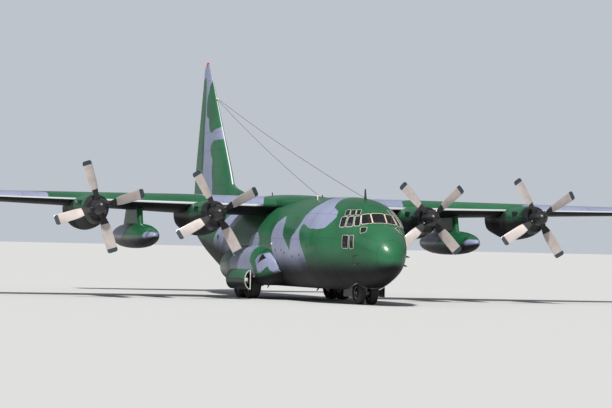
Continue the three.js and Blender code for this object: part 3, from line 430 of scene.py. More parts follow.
def smooth_table(x: np.ndarray, rows: np.ndarray) -> np.ndarray:
    """A table read smoothly between its rows.

    Cubic Hermite pieces whose slopes are the weighted harmonic mean of the slopes beside a row, and zero
    where those differ in sign, so that no column overshoots.

    Args:
        x: places to read.
        rows: the table; its first column is the place.

    Returns:
        One row of the other columns for each place.
    """
    place, values = rows[:, 0], rows[:, 1:]
    gap = np.diff(place)[:, None]
    slope = np.diff(values, axis=0) / gap
    tangent = np.zeros_like(values)
    first, second = 2 * gap[1:] + gap[:-1], gap[1:] + 2 * gap[:-1]
    same = slope[:-1] * slope[1:] > 0
    safe = [np.where(same, s, 1.0) for s in (slope[:-1], slope[1:])]
    tangent[1:-1] = np.where(same, (first + second) / (first / safe[0] + second / safe[1]), 0.0)
    tangent[0], tangent[-1] = slope[0], slope[-1]
    i = np.clip(np.searchsorted(place, x, side="right") - 1, 0, len(place) - 2)
    h = gap[i]
    t = (np.clip(x, place[0], place[-1]) - place[i])[:, None] / h
    start = (2 * t**3 - 3 * t**2 + 1) * values[i] + (t**3 - 2 * t**2 + t) * h * tangent[i]
    return start + (3 * t**2 - 2 * t**3) * values[i + 1] + (t**3 - t**2) * h * tangent[i + 1]


def straight_table(x: np.ndarray, rows: np.ndarray) -> np.ndarray:
    """A table read in straight lines between its rows."""
    return np.stack([np.interp(x, rows[:, 0], column) for column in rows[:, 1:].T], 1)


def signed_power(value: np.ndarray, power: Any) -> np.ndarray:
    """The size raised to a power, with the sign kept."""
    return np.sign(value) * np.abs(value) ** power


def outline_distance(points: np.ndarray, outline: Sequence) -> np.ndarray:
    """Distance of 2-D points to a closed outline, positive inside.

    The nearest distance to any edge, with the sign from how often a ray to the right crosses the outline.
    """
    a = np.asarray(outline, float)
    b = np.roll(a, -1, axis=0)
    edge = b - a
    best = np.full(len(points), np.inf)
    inside = np.zeros(len(points), bool)
    for start, end, run in zip(a, b, edge):
        offset = points - start
        share = np.clip(offset @ run / max(run @ run, 1e-12), 0, 1)
        best = np.minimum(best, np.linalg.norm(offset - share[:, None] * run, axis=1))
        crosses = (start[1] > points[:, 1]) != (end[1] > points[:, 1])
        rise = np.where(abs(run[1]) < 1e-12, 1e-12, run[1])
        inside ^= crosses & (points[:, 0] < start[0] + (points[:, 1] - start[1]) * run[0] / rise)
    return np.where(inside, best, -best)


def patches(points: np.ndarray, outlines: Sequence[Sequence]) -> np.ndarray:
    """Distance to the nearest of several outlines, positive inside any of them."""
    return np.max([outline_distance(points, outline) for outline in outlines], axis=0)


def rounded_box(u: np.ndarray, v: np.ndarray, half: tuple[float, float], radius: float) -> np.ndarray:
    """Distance to a rectangle with round corners about the origin, positive inside."""
    du, dv = np.abs(u) - half[0] + radius, np.abs(v) - half[1] + radius
    return radius - np.hypot(np.maximum(du, 0), np.maximum(dv, 0)) - np.minimum(np.maximum(du, dv), 0)


# Meshes
@dataclass
class Shape:
    """Triangles with a UV place and named numbers for each point."""

    points: np.ndarray
    tris: np.ndarray
    uv: np.ndarray | None = None
    marks: dict[str, np.ndarray] = field(default_factory=dict)

    def __post_init__(self) -> None:
        """Fills in an empty UV map."""
        if self.uv is None:
            self.uv = np.zeros((len(self.points), 2)) + (0.33, 0.31)

    def __add__(self, other: "Shape") -> "Shape":
        """Both shapes in one mesh; a mark that one of them lacks is 0 there."""
        names = self.marks.keys() | other.marks.keys()
        blank = [np.zeros(len(s.points)) for s in (self, other)]
        marks = {
            name: np.concatenate([self.marks.get(name, blank[0]), other.marks.get(name, blank[1])])
            for name in names
        }
        tris = np.concatenate([self.tris, other.tris + len(self.points)])
        points, uv = np.concatenate([self.points, other.points]), np.concatenate([self.uv, other.uv])
        return Shape(points, tris, uv, marks)

    def volume(self) -> float:
        """Six times the signed volume inside the triangles."""
        a, b, c = (self.points[self.tris[:, i]] for i in range(3))
        return float(np.sum(a * np.cross(b, c)))

    def outward(self) -> "Shape":
        """The shape with its faces turned outwards, by the sign of its volume."""
        tris = self.tris if self.volume() > 0 else self.tris[:, ::-1]
        return replace(self, tris=tris)

    def moved(self, offset: Sequence[float], turn: np.ndarray | None = None) -> "Shape":
        """The shape turned by a matrix and then moved."""
        points = self.points if turn is None else self.points @ np.asarray(turn).T
        return replace(self, points=points + np.asarray(offset, float))

    def mirrored(self) -> "Shape":
        """The shape on the other side of the middle line."""
        return replace(self, points=self.points * (-1, 1, 1), tris=self.tris[:, ::-1])

    def normals(self) -> np.ndarray:
        """Unit normals of the points, from the areas of the triangles round them."""
        a, b, c = (self.points[self.tris[:, i]] for i in range(3))
        face = np.cross(b - a, c - a)
        total = np.zeros_like(self.points)
        for i in range(3):
            np.add.at(total, self.tris[:, i], face)
        return total / np.maximum(np.linalg.norm(total, axis=1, keepdims=True), 1e-12)

    def marked(self, **marks: Any) -> "Shape":
        """The shape with more marks; a number is the same at every point."""
        full = {n: np.broadcast_to(np.asarray(v, float), len(self.points)).copy() for n, v in marks.items()}
        return replace(self, marks={**self.marks, **full})


def combined(shapes: Sequence[Shape]) -> Shape:
    """All shapes in one mesh."""
    total = shapes[0]
    for shape in shapes[1:]:
        total = total + shape
    return total


def grid_tris(rows: int, columns: int, wrap: bool = False) -> np.ndarray:
    """Two triangles for each cell of a grid; with wrap the last column meets the first."""
    index = np.arange(rows * columns).reshape(rows, columns)
    if wrap:
        index = np.concatenate([index, index[:, :1]], axis=1)
    a, b, c, d = index[:-1, :-1], index[:-1, 1:], index[1:, 1:], index[1:, :-1]
    return np.concatenate([np.stack([a, b, c], -1).reshape(-1, 3), np.stack([a, c, d], -1).reshape(-1, 3)])


def loft(rings: np.ndarray, uv: np.ndarray | None = None, closed: bool = True) -> Shape:
    """A closed skin over rings of points (rings, sides, 3), with a fan over each end.

    Args:
        rings: the rings, each in the same turning order.
        uv: distances along and around for each point, or None.
        closed: whether the ends get fans.

    Returns:
        The shape with its faces outwards.
    """
    rows, sides = rings.shape[:2]
    tris = [grid_tris(rows, sides, wrap=True)]
    points = rings.reshape(-1, 3)
    flat = None if uv is None else uv.reshape(-1, 2)
    if closed:
        ends = np.stack([rings[0].mean(0), rings[-1].mean(0)])
        points = np.concatenate([points, ends])
        if flat is not None:
            flat = np.concatenate([flat, uv[[0, -1]].mean(1)])
        j = np.arange(sides)
        k = (j + 1) % sides
        last = (rows - 1) * sides
        tris.append(np.stack([np.full(sides, rows * sides), k, j], 1))
        tris.append(np.stack([np.full(sides, rows * sides + 1), last + j, last + k], 1))
    return Shape(points, np.concatenate(tris), flat).outward()


def square_to(line: np.ndarray) -> np.ndarray:
    """A unit direction square to a line."""
    across = np.cross(line, (0.0, 0.0, 1.0) if abs(line[2]) < 0.9 else (1.0, 0.0, 0.0))
    return across / np.linalg.norm(across)


def turned(profile: Sequence, axis: Sequence[float], centre: Sequence[float], sides: int = 32) -> Shape:
    """A profile of (radius, distance) points turned about a line through a place.

    Each point lies at centre + distance * axis + radius * (cos t, sin t) across the axis.
    """
    line = np.asarray(axis, float) / np.linalg.norm(axis)
    across = square_to(line)
    t = np.arange(sides) * TAU / sides
    circle = np.cos(t)[:, None] * across + np.sin(t)[:, None] * np.cross(line, across)
    rows = np.asarray(profile, float)
    radius = np.maximum(rows[:, 0], 1e-5)[:, None, None]
    rings = np.asarray(centre) + rows[:, 1, None, None] * line + radius * circle
    length = np.concatenate([[0], np.cumsum(np.linalg.norm(np.diff(rows, axis=0), axis=1))])
    return loft(rings, spread(length[:, None], t * rows[:, 0].max()))


def tube(path: Sequence, radius: Any, sides: int = 12, steps: int = 1) -> Shape:
    """A round tube along a path of points, smoothed into steps between them.

    Rings stand across the path; a parallel-carried frame keeps them from twisting.
    """
    points = np.asarray(path, float)
    at = np.arange(len(points))
    fine = np.linspace(0, len(points) - 1, (len(points) - 1) * steps + 1)
    table = np.column_stack([at, points, np.broadcast_to(np.asarray(radius, float), len(points))])
    rows = smooth_table(fine, table) if steps > 1 else table[:, 1:]
    line = np.gradient(rows[:, :3], axis=0)
    line /= np.linalg.norm(line, axis=1, keepdims=True)
    across = square_to(line[0])
    t = np.arange(sides) * TAU / sides
    rings = []
    for centre, thick, way in zip(rows[:, :3], rows[:, 3], line):
        across = across - way * (across @ way)
        across /= np.linalg.norm(across)
        up = np.cross(way, across)
        rings.append(centre + thick * (np.cos(t)[:, None] * across + np.sin(t)[:, None] * up))
    return loft(np.array(rings))


def block(low: Sequence[float], high: Sequence[float], radius: float = 0.02) -> Shape:
    """A block with rounded edges: four rounded-rectangle rings, the end ones drawn in."""
    low, high = np.asarray(low, float), np.asarray(high, float)
    radius = min(radius, float(np.min(high - low)) * 0.49)
    t = np.linspace(0, TAU, 17)[:-1] + TAU / 32
    corner = np.stack([np.cos(t), np.sin(t)], 1)
    middle, half = (low + high) / 2, (high - low) / 2
    rings = []
    for z, inset in ((low[2], radius), (low[2] + 0.3 * radius, 0.3 * radius), (low[2] + radius, 0.0)):
        flat = np.sign(corner) * (half[:2] - radius) + corner * (radius - inset)
        rings.append(np.column_stack([middle[:2] + flat, np.full(16, z)]))
    top = [np.column_stack([ring[:, :2], np.full(16, low[2] + high[2] - ring[0, 2])]) for ring in rings[::-1]]
    return loft(np.array(rings + top))


def prism(outline: Sequence, start: float, end: float, axis: int) -> Shape:
    """A flat outline carried along one axis, with its edges drawn in slightly at both ends."""
    flat = np.asarray(outline, float)
    middle = flat.mean(0)
    bevel = min(0.012, abs(end - start) * 0.2)
    size = float(np.ptp(flat, axis=0).min())
    shrink = 1 - bevel / size
    rings = []
    for at, scale in ((start, shrink), (start + bevel, 1.0), (end - bevel, 1.0), (end, shrink)):
        rings.append(np.insert(middle + (flat - middle) * scale, axis, at, axis=1))
    return loft(np.array(rings))


def cut_sheet(
    outer: np.ndarray, inner: np.ndarray, tris: np.ndarray, keep: np.ndarray, uv: np.ndarray
) -> Shape:
    """A skin with thickness, trimmed where a field falls below zero.

    A triangle with all corners kept stays. One that the zero line crosses is cut along that line, with
    each new point placed by straight interpolation on its edge, outside and inside alike. Then the inner
    skin is the same triangles turned over, and every edge used once gets a wall between the skins.

    Args:
        outer: outer points.
        inner: inner points, one for each outer point.
        tris: triangles of the whole skin.
        keep: the field at each point.
        uv: distances along and around at each point.

    Returns:
        The closed, trimmed sheet.
    """
    keep = np.where(np.abs(keep) < 1e-6, 1e-6, keep)
    sign = keep[tris] > 0
    count = sign.sum(1)
    parts = [tris[count == 3]]
    made: list[np.ndarray] = []
    order = np.array([[0, 1, 2], [1, 2, 0], [2, 0, 1]])
    for kept in (1, 2):
        some, flags = tris[count == kept], sign[count == kept]
        odd = np.argmax(flags if kept == 1 else ~flags, axis=1)
        a, b, c = (np.take_along_axis(some, order[odd][:, i : i + 1], 1)[:, 0] for i in range(3))
        made.append(np.stack([a, b, c], 1))
    cuts = np.concatenate([np.concatenate([m[:, [0, 1]], m[:, [0, 2]]]) for m in made])
    pairs, back = np.unique(np.sort(cuts, axis=1), axis=0, return_inverse=True)
    back = back.reshape(-1) + len(outer)
    share = (keep[pairs[:, 0]] / (keep[pairs[:, 0]] - keep[pairs[:, 1]]))[:, None]
    grown = [
        np.concatenate([values, values[pairs[:, 0]] * (1 - share) + values[pairs[:, 1]] * share])
        for values in (outer, inner, uv)
    ]
    one, two = len(made[0]), len(made[1])
    ab1, ac1 = back[:one], back[one : 2 * one]
    ab2, ac2 = back[2 * one : 2 * one + two], back[2 * one + two :]
    parts.append(np.stack([made[0][:, 0], ab1, ac1], 1))
    parts.append(np.stack([made[1][:, 1], made[1][:, 2], ac2], 1))
    parts.append(np.stack([made[1][:, 1], ac2, ab2], 1))
    return thick_sheet(grown[0], grown[1], np.concatenate(parts), grown[2])


def thick_sheet(outer: np.ndarray, inner: np.ndarray, tris: np.ndarray, uv: np.ndarray) -> Shape:
    """Two skins over the same triangles, with walls where an edge is used once."""
    _, first, same = np.unique(np.round(outer, 6), axis=0, return_index=True, return_inverse=True)
    joined = first[same.reshape(-1)][tris]
    fine = (joined[:, 0] != joined[:, 1]) & (joined[:, 1] != joined[:, 2]) & (joined[:, 2] != joined[:, 0])
    tris, joined = tris[fine], joined[fine]
    edges = np.concatenate([joined[:, [0, 1]], joined[:, [1, 2]], joined[:, [2, 0]]])
    size = len(outer)
    forward, reverse = edges[:, 0] * size + edges[:, 1], edges[:, 1] * size + edges[:, 0]
    a, b = edges[~np.isin(forward, reverse)].T
    wall = np.concatenate([np.stack([b, a, a + size], 1), np.stack([b, a + size, b + size], 1)])
    used = np.unique(np.concatenate([joined.ravel(), wall.ravel() % size]))
    every = np.concatenate([joined, joined[:, ::-1] + size, wall])
    index = np.full(2 * size, -1)
    index[used], index[used + size] = np.arange(len(used)), np.arange(len(used)) + len(used)
    points = np.concatenate([outer[used], inner[used]])
    inside = np.repeat([0.0, 1.0], len(used))
    return Shape(points, index[every], np.concatenate([uv[used], uv[used]]), {"inner": inside}).outward()


def trimmed(shape: Shape, limit: float = 1e-5) -> Shape:
    """The shape with points that coincide made one, and triangles without area left out."""
    _, first, same = np.unique(np.round(shape.points / limit), axis=0, return_index=True, return_inverse=True)
    tris = same.reshape(-1)[shape.tris]
    good = (tris[:, 0] != tris[:, 1]) & (tris[:, 1] != tris[:, 2]) & (tris[:, 2] != tris[:, 0])
    marks = {name: values[first] for name, values in shape.marks.items()}
    return Shape(shape.points[first], tris[good], shape.uv[first], marks)


def place(
    name: str,
    shape: Shape,
    finish: Finish,
    body: str = "airframe",
    slot: Slot = Slot.GREEN,
    stands_for: Sequence[str] = (),
    crease: float = 32.0,
) -> bpy.types.Object:
    """Makes a shape an object of the frame.

    Args:
        name: the piece's name.
        shape: its mesh in full-size metres.
        finish: its finish.
        body: the frame's body that it moves with.
        slot: the record's slot for its finish; not used.
        stands_for: frame nodes that it replaces.
        crease: edges that bend more than this many degrees stay sharp.

    Returns:
        The object.
    """
    # Every piece gets a down mark, which the camouflage turns into painted shade where the skin faces the
    # ground.
    if "down" not in shape.marks:
        shape = shape.marked(down=-shape.normals()[:, 2])
    shape = trimmed(shape)
    mesh = bpy.data.meshes.new(name)
    count = len(shape.tris)
    mesh.vertices.add(len(shape.points))
    mesh.vertices.foreach_set("co", to_model(shape.points).astype(np.float32).ravel())
    mesh.loops.add(count * 3)
    mesh.loops.foreach_set("vertex_index", shape.tris.astype(np.int32).ravel())
    mesh.polygons.add(count)
    mesh.polygons.foreach_set("loop_start", np.arange(0, count * 3, 3, dtype=np.int32))
    mesh.polygons.foreach_set("use_smooth", np.ones(count, bool))
    layer = mesh.uv_layers.new(name="skin")
    layer.data.foreach_set("uv", shape.uv[shape.tris].astype(np.float32).ravel())
    for mark, values in sorted(shape.marks.items()):
        mesh.attributes.new(mark, "FLOAT", "POINT").data.foreach_set("value", values.astype(np.float32))
    mesh.update(calc_edges=True)
    mesh.set_sharp_from_angle(angle=math.radians(crease))
    mesh.materials.append(finish.material())
    piece = bpy.data.objects.new(name, mesh)
    bpy.context.scene.collection.objects.link(piece)
    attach(piece, body)
    if stands_for:
        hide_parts(*stands_for)
    log.info("%s: %d triangles on %s", name, count, body)
    return piece


def place_skin(
    node: str, shape: Shape, finish: Finish, body: str = "airframe", slot: Slot = Slot.GREEN
) -> bpy.types.Object:
    """Places the skin that stands for one frame node, named after it."""
    return place(f"{node}_skin", shape, finish, body, slot, [node])


# Fuselage
BODY_ROWS = np.array([
    # y, half width, roof, widest line, round underside, flat keel, squareness of the upper half
    (0.0, 0.0, 1.97, 1.97, 1.97, 1.97, 2.0),
    (0.04, 0.2, 2.21, 1.99, 1.71, 1.71, 2.0),
    (0.16, 0.41, 2.45, 2.04, 1.49, 1.49, 2.0),
    (0.4, 0.63, 2.74, 2.14, 1.27, 1.27, 2.0),
    (0.8, 0.83, 3.04, 2.27, 1.09, 1.09, 2.0),
    (1.4, 1.06, 3.32, 2.38, 0.92, 0.92, 2.05),
    (1.7, 1.17, 3.42, 2.4, 0.85, 0.85, 2.15),
    (2.2, 1.35, 3.9, 2.44, 0.75, 0.75, 2.2),
    (2.8, 1.56, 4.25, 2.47, 0.62, 0.64, 2.15),
    (3.5, 1.8, 4.44, 2.5, 0.5, 0.6, 2.05),
    (4.4, 2.05, 4.54, 2.48, 0.38, 0.6, 2.0),
    (5.5, 2.16, 4.58, 2.42, 0.26, 0.6, 2.0),
    (17.6, 2.16, 4.6, 2.42, 0.26, 0.6, 2.0),
    (18.1, 2.15, 4.6, 2.44, 0.34, 0.62, 2.0),
    (19.5, 2.12, 4.62, 2.56, 0.8, 1.13, 2.0),
    (21.1, 2.02, 4.66, 2.72, 1.38, 1.71, 2.0),
    (23.0, 1.77, 4.71, 2.98, 2.1, 2.39, 2.0),
    (25.0, 1.38, 4.76, 3.4, 2.92, 3.11, 2.0),
    (26.4, 1.04, 4.78, 3.78, 3.5, 3.56, 2.0),
    (28.2, 0.58, 4.76, 4.2, 3.98, 3.98, 2.0),
    (29.4, 0.24, 4.68, 4.42, 4.24, 4.24, 2.0),
    (LENGTH, 0.0, 4.46, 4.46, 4.46, 4.46, 2.0),
])

# Grey patches of the hull as (y, degrees above the middle line), the starboard ones as they look
HULL_GREY = [
    [(4.9, 100), (4.78, 74), (4.38, 61), (4.1, 52), (3.5, 46), (3.3, 38), (3.44, 29), (3.76, 21), (4.38, 19),
     (5.04, 21), (5.58, 25), (6.1, 26), (6.24, 19), (6.02, 10), (5.72, 0), (5.28, -12), (5.18, -21),
     (5.52, -31), (6.0, -60), (6.1, -100), (9.6, -100), (9.5, -60), (9.31, -33), (9.09, -21), (9.57, -13),
     (9.79, -1), (9.95, 10), (9.96, 18), (9.78, 27), (9.49, 33), (9.02, 38), (8.68, 29), (8.52, 20),
     (8.3, 11), (7.88, 5), (7.48, -1), (7.26, -7), (7.18, 2), (7.12, 10), (6.78, 15), (6.44, 26),
     (6.42, 36), (6.3, 48), (6.1, 60), (6.22, 73), (6.4, 100)],
    [(13.13, 1), (12.79, 12), (12.05, 17), (11.59, 7), (11.69, 0), (12.0, -22), (13.3, -18)],
    [(15.2, 100), (14.9, 60), (15.6, 35), (16.4, 10), (15.9, -15), (16.6, -40), (17.0, -100), (20.0, -100),
     (19.2, -45), (18.4, -20), (18.9, 5), (18.1, 30), (17.3, 55), (17.6, 100)],
    [(21.3, 100), (21.0, 55), (21.8, 25), (23.2, 5), (23.0, -25), (23.5, -100), (25.6, -100), (25.2, -30),
     (25.8, 0), (24.6, 30), (23.6, 60), (23.9, 100)],
    [(27.4, 100), (27.7, 10), (27.3, -100), (28.8, -100), (28.5, 10), (28.9, 100)],
]
# Length of a degree round the hull, and the radius that the UV map takes for it
DEGREE = 0.0377
SKIN_RADIUS = 2.1


def unrolled(angle: np.ndarray) -> np.ndarray:
    """Distance round the skin from the keel, for the UV map."""
    return (angle + math.pi / 2) * SKIN_RADIUS


def rolled(distance: np.ndarray) -> np.ndarray:
    """The angle at a distance round the skin."""
    return distance / SKIN_RADIUS - math.pi / 2


@dataclass
class Hull:
    """The fuselage's skin and the pieces cut from it.

    core is the level that outwards is judged from. shade is how much higher the painted shade of the belly
    climbs towards the tail as a painted shadow of the wing, from the station shade_from on and over the
    length shade_over.
    """

    rows: np.ndarray = field(default_factory=lambda: BODY_ROWS)
    keel_soften: float = 0.05
    core: float = 2.4
    shade: float = 0.36
    shade_from: float = 13.0
    shade_over: float = 5.0

    def at(self, y: np.ndarray, angle: np.ndarray, inset: float = 0.0) -> np.ndarray:
        """Points of the skin.

        x is the half width times the cosine and z the widest line plus the height times the sine, each
        raised to 2 / squareness above the widest line. z then eases up to the flat keel. The table is
        read against the square root of y, so that the nose is round.

        Args:
            y: stations.
            angle: angles from port over the roof, of the same shape.
            inset: how far the section shrinks.
        """
        table = np.column_stack([np.sqrt(self.rows[:, 0]), self.rows[:, 1:]])
        stations, back = np.unique(np.ravel(y), return_inverse=True)
        read = smooth_table(np.sqrt(stations), table)[back.reshape(-1)].reshape(*np.shape(y), 6)
        width, roof, middle, low, flat, square = np.moveaxis(read, -1, 0)
        c, s = np.cos(angle), np.sin(angle)
        power = np.where(s > 0, 2 / square, 1.0)
        height = np.where(s > 0, roof - middle, middle - low) - inset
        x = np.maximum(width - inset, 0) * signed_power(c, power)
        z = middle + np.maximum(height, 0) * signed_power(s, power)
        gap = z - flat - inset
        ease = np.minimum(self.keel_soften, 0.3 * width + 1e-6)
        lifted = flat + inset + (gap + np.sqrt(gap**2 + ease**2)) / 2
        return spread(x, y, np.where(s > 0, z, np.minimum(lifted, middle)))

    def locate(self, point: Sequence[float]) -> tuple[float, float]:
        """The station and angle nearest to a point of the skin."""
        x, y, z = point
        angle = all_round(1441)
        ring = self.at(np.full(len(angle), float(y)), angle)
        best = int(np.argmin(np.hypot(ring[:, 0] - x, ring[:, 2] - z)))
        return float(y), float(angle[best])

    def camo(self, points: np.ndarray, angle: np.ndarray) -> np.ndarray:
        """Distance to the colours' outline; the port side's outlines run a little further aft."""
        starboard = np.cos(angle) < 0
        above = np.degrees(np.where(starboard, math.pi - angle, angle))
        shift = np.where(starboard, 0.0, 0.9 * (1 - above / 90) * np.sin(points[:, 1] * 0.9))
        chart = np.column_stack([points[:, 1] + shift, above * DEGREE])
        return patches(chart, [[(y, a * DEGREE) for y, a in outline] for outline in HULL_GREY])

    def section_sheet(
        self,
        stations: np.ndarray,
        angles: np.ndarray,
        keep: Callable[[np.ndarray], np.ndarray] | None = None,
        depth: float = WALL,
        inner: Callable[[np.ndarray], np.ndarray] | None = None,
    ) -> Shape:
        """A piece of skin with thickness.

        Args:
            stations: its stations.
            angles: its angles.
            keep: the field that trims it, or None.
            depth: its thickness.
            inner: makes the inner points from the outer ones, in place of the depth.

        Returns:
            The sheet with its camouflage. Its painted shade on the belly climbs higher towards the tail, as a
            painted shadow of the wing.
        """
        y, a = np.meshgrid(stations, angles, indexing="ij")
        outer = self.at(y, a).reshape(-1, 3)
        inside = self.at(y, a, depth).reshape(-1, 3) if inner is None else inner(outer)
        tris = grid_tris(*y.shape)
        normal = Shape(outer, tris).normals()
        outwards = np.sign(np.sum(normal * (outer - (0, 0, self.core)) * (1, 0, 1)))
        # Painted shade: down grows where the skin faces the ground, and climb adds a painted shadow of the
        # wing aft.
        climb = self.shade * np.clip((y.ravel() - self.shade_from) / self.shade_over, 0, 1)
        down = climb - normal[:, 2] * outwards
        uv = np.column_stack([y.ravel(), unrolled(a.ravel()), down])
        kept = np.ones(len(outer)) if keep is None else keep(outer)
        sheet = cut_sheet(outer, inside, tris, kept, uv)
        camo = self.camo(sheet.points, rolled(sheet.uv[:, 1]))
        sheet = sheet.marked(camo=camo, down=sheet.uv[:, 2])
        return replace(sheet, uv=sheet.uv[:, :2])

    def local_patch(
        self, corners: Sequence, margin: float, cells: int
    ) -> tuple[np.ndarray, np.ndarray, tuple[int, int]]:
        """A fine grid of the skin round some of its points, with unit normals.

        Args:
            corners: points near the skin.
            margin: how far the grid reaches beyond them.
            cells: points along each side of the grid.

        Returns:
            Points, normals and the grid's shape.
        """
        spots = np.array([self.locate(c) for c in corners])
        reach = margin / 1.6
        y = np.linspace(spots[:, 0].min() - margin, spots[:, 0].max() + margin, cells)
        a = np.linspace(spots[:, 1].min() - reach, spots[:, 1].max() + reach, cells)
        points = self.at(*np.meshgrid(y, a, indexing="ij"))
        normal = np.cross(np.gradient(points, axis=1), np.gradient(points, axis=0))
        normal /= np.linalg.norm(normal, axis=-1, keepdims=True)
        out = np.sum(normal[..., ::2] * (points[..., ::2] - (0, self.core)), -1)
        return points, normal * np.sign(np.median(out)), points.shape[:2]


@dataclass(frozen=True)
class Pane:
    """A window's outline on the skin, given by its starboard corners; grow widens it all round."""

    name: str
    corners: tuple
    frame: float = 0.018
    radius: float = 0.045
    grow: float = 0.014
    side: Side = Side.starboard

    def places(self) -> np.ndarray:
        """The corners on the pane's own side."""
        flip = -1 if self.side is Side.port else 1
        return np.array(self.corners) * (flip, 1, 1)

    def inside(self, points: np.ndarray) -> np.ndarray:
        """Distance to the outline on the pane's own plane, positive inside and -1 far away.

        The corners are drawn in by the radius along their bisectors, and the radius is added again, so
        that the corners come out round.
        """
        corners = self.places()
        middle = corners.mean(0)
        normal = np.linalg.svd(corners - middle)[2][2]
        across = np.cross(normal, (0.0, 0.0, 1.0))
        across /= np.linalg.norm(across)
        up = np.cross(across, normal)
        flat = np.column_stack([(corners - middle) @ across, (corners - middle) @ up])
        flat = flat[np.argsort(np.arctan2(flat[:, 1], flat[:, 0]))]
        drawn = offset_outline(flat, self.radius)
        offset = points - middle
        chart = np.column_stack([offset @ across, offset @ up])
        near = np.abs(offset @ normal) < 0.32
        return np.where(near, outline_distance(chart, drawn) + self.radius + self.grow, -1.0)


def offset_outline(outline: np.ndarray, depth: float) -> np.ndarray:
    """A convex anticlockwise outline with every edge moved inwards, and its corners where they now meet."""
    run = np.roll(outline, -1, axis=0) - outline
    normal = np.stack([-run[:, 1], run[:, 0]], 1) / np.linalg.norm(run, axis=1, keepdims=True)
    reach = np.sum(normal * outline, axis=1) + depth
    before = np.roll(normal, 1, axis=0)
    system = np.stack([before, normal], 1)
    return np.linalg.solve(system, np.stack([np.roll(reach, 1), reach], 1)[..., None])[..., 0]


CENTRE_PANE = ((-0.27, 2.13, 3.84), (0.27, 2.13, 3.84), (0.28, 1.77, 3.45), (-0.28, 1.77, 3.45))
SIDE_PANES = {
    "front_pane": ((-0.34, 2.14, 3.82), (-0.65, 2.22, 3.77), (-0.77, 1.9, 3.4), (-0.35, 1.79, 3.44)),
    "side_pane_a": ((-0.72, 2.2, 3.72), (-0.88, 2.33, 3.69), (-1.02, 2.06, 3.31), (-0.86, 1.93, 3.33)),
    "side_pane_b": ((-0.94, 2.4, 3.7), (-1.08, 2.58, 3.67), (-1.25, 2.43, 3.27), (-1.09, 2.13, 3.29)),
    "side_pane_c": ((-1.14, 2.69, 3.69), (-1.27, 2.94, 3.66), (-1.42, 2.79, 3.27), (-1.31, 2.52, 3.27)),
    "eyebrow_a": ((-0.73, 2.57, 3.98), (-0.6, 2.5, 3.99), (-0.71, 2.31, 3.81), (-0.83, 2.38, 3.79)),
    "eyebrow_b": ((-0.91, 2.78, 3.97), (-0.78, 2.64, 3.98), (-0.89, 2.44, 3.79), (-1.01, 2.59, 3.78)),
    "eyebrow_c": ((-1.04, 3.04, 3.97), (-0.95, 2.87, 3.98), (-1.06, 2.68, 3.78), (-1.16, 2.88, 3.77)),
    "chin_pane": ((-0.82, 1.8, 3.23), (-0.64, 1.64, 3.24), (-0.75, 1.48, 3.05), (-0.9, 1.62, 3.02)),
    "low_pane_a": ((-1.4, 2.46, 2.9), (-1.28, 2.12, 2.9), (-1.31, 2.07, 2.38), (-1.42, 2.41, 2.38)),
    "low_pane_b": ((-1.23, 2.03, 2.9), (-1.14, 1.86, 2.9), (-1.19, 1.74, 2.38), (-1.26, 1.95, 2.37)),
}
# Frame width, corner radius and growth where they differ from the other panes
PANE_EDGES = {"eyebrow": (0.012, 0.02, 0.02), "chin": (0.014, 0.03, 0.03), "low": (0.012,)}


def all_panes() -> list[Pane]:
    """The centre pane, then the others on starboard and on port."""
    starboard = [
        Pane(f"{name}_starboard", corners, *PANE_EDGES.get(name.split("_")[0], ()))
        for name, corners in SIDE_PANES.items()
    ]
    port = [replace(pane, name=pane.name.replace("starboard", "port"), side=Side.port) for pane in starboard]
    return [Pane("centre_pane", CENTRE_PANE), *starboard, *port]


PANES = all_panes()


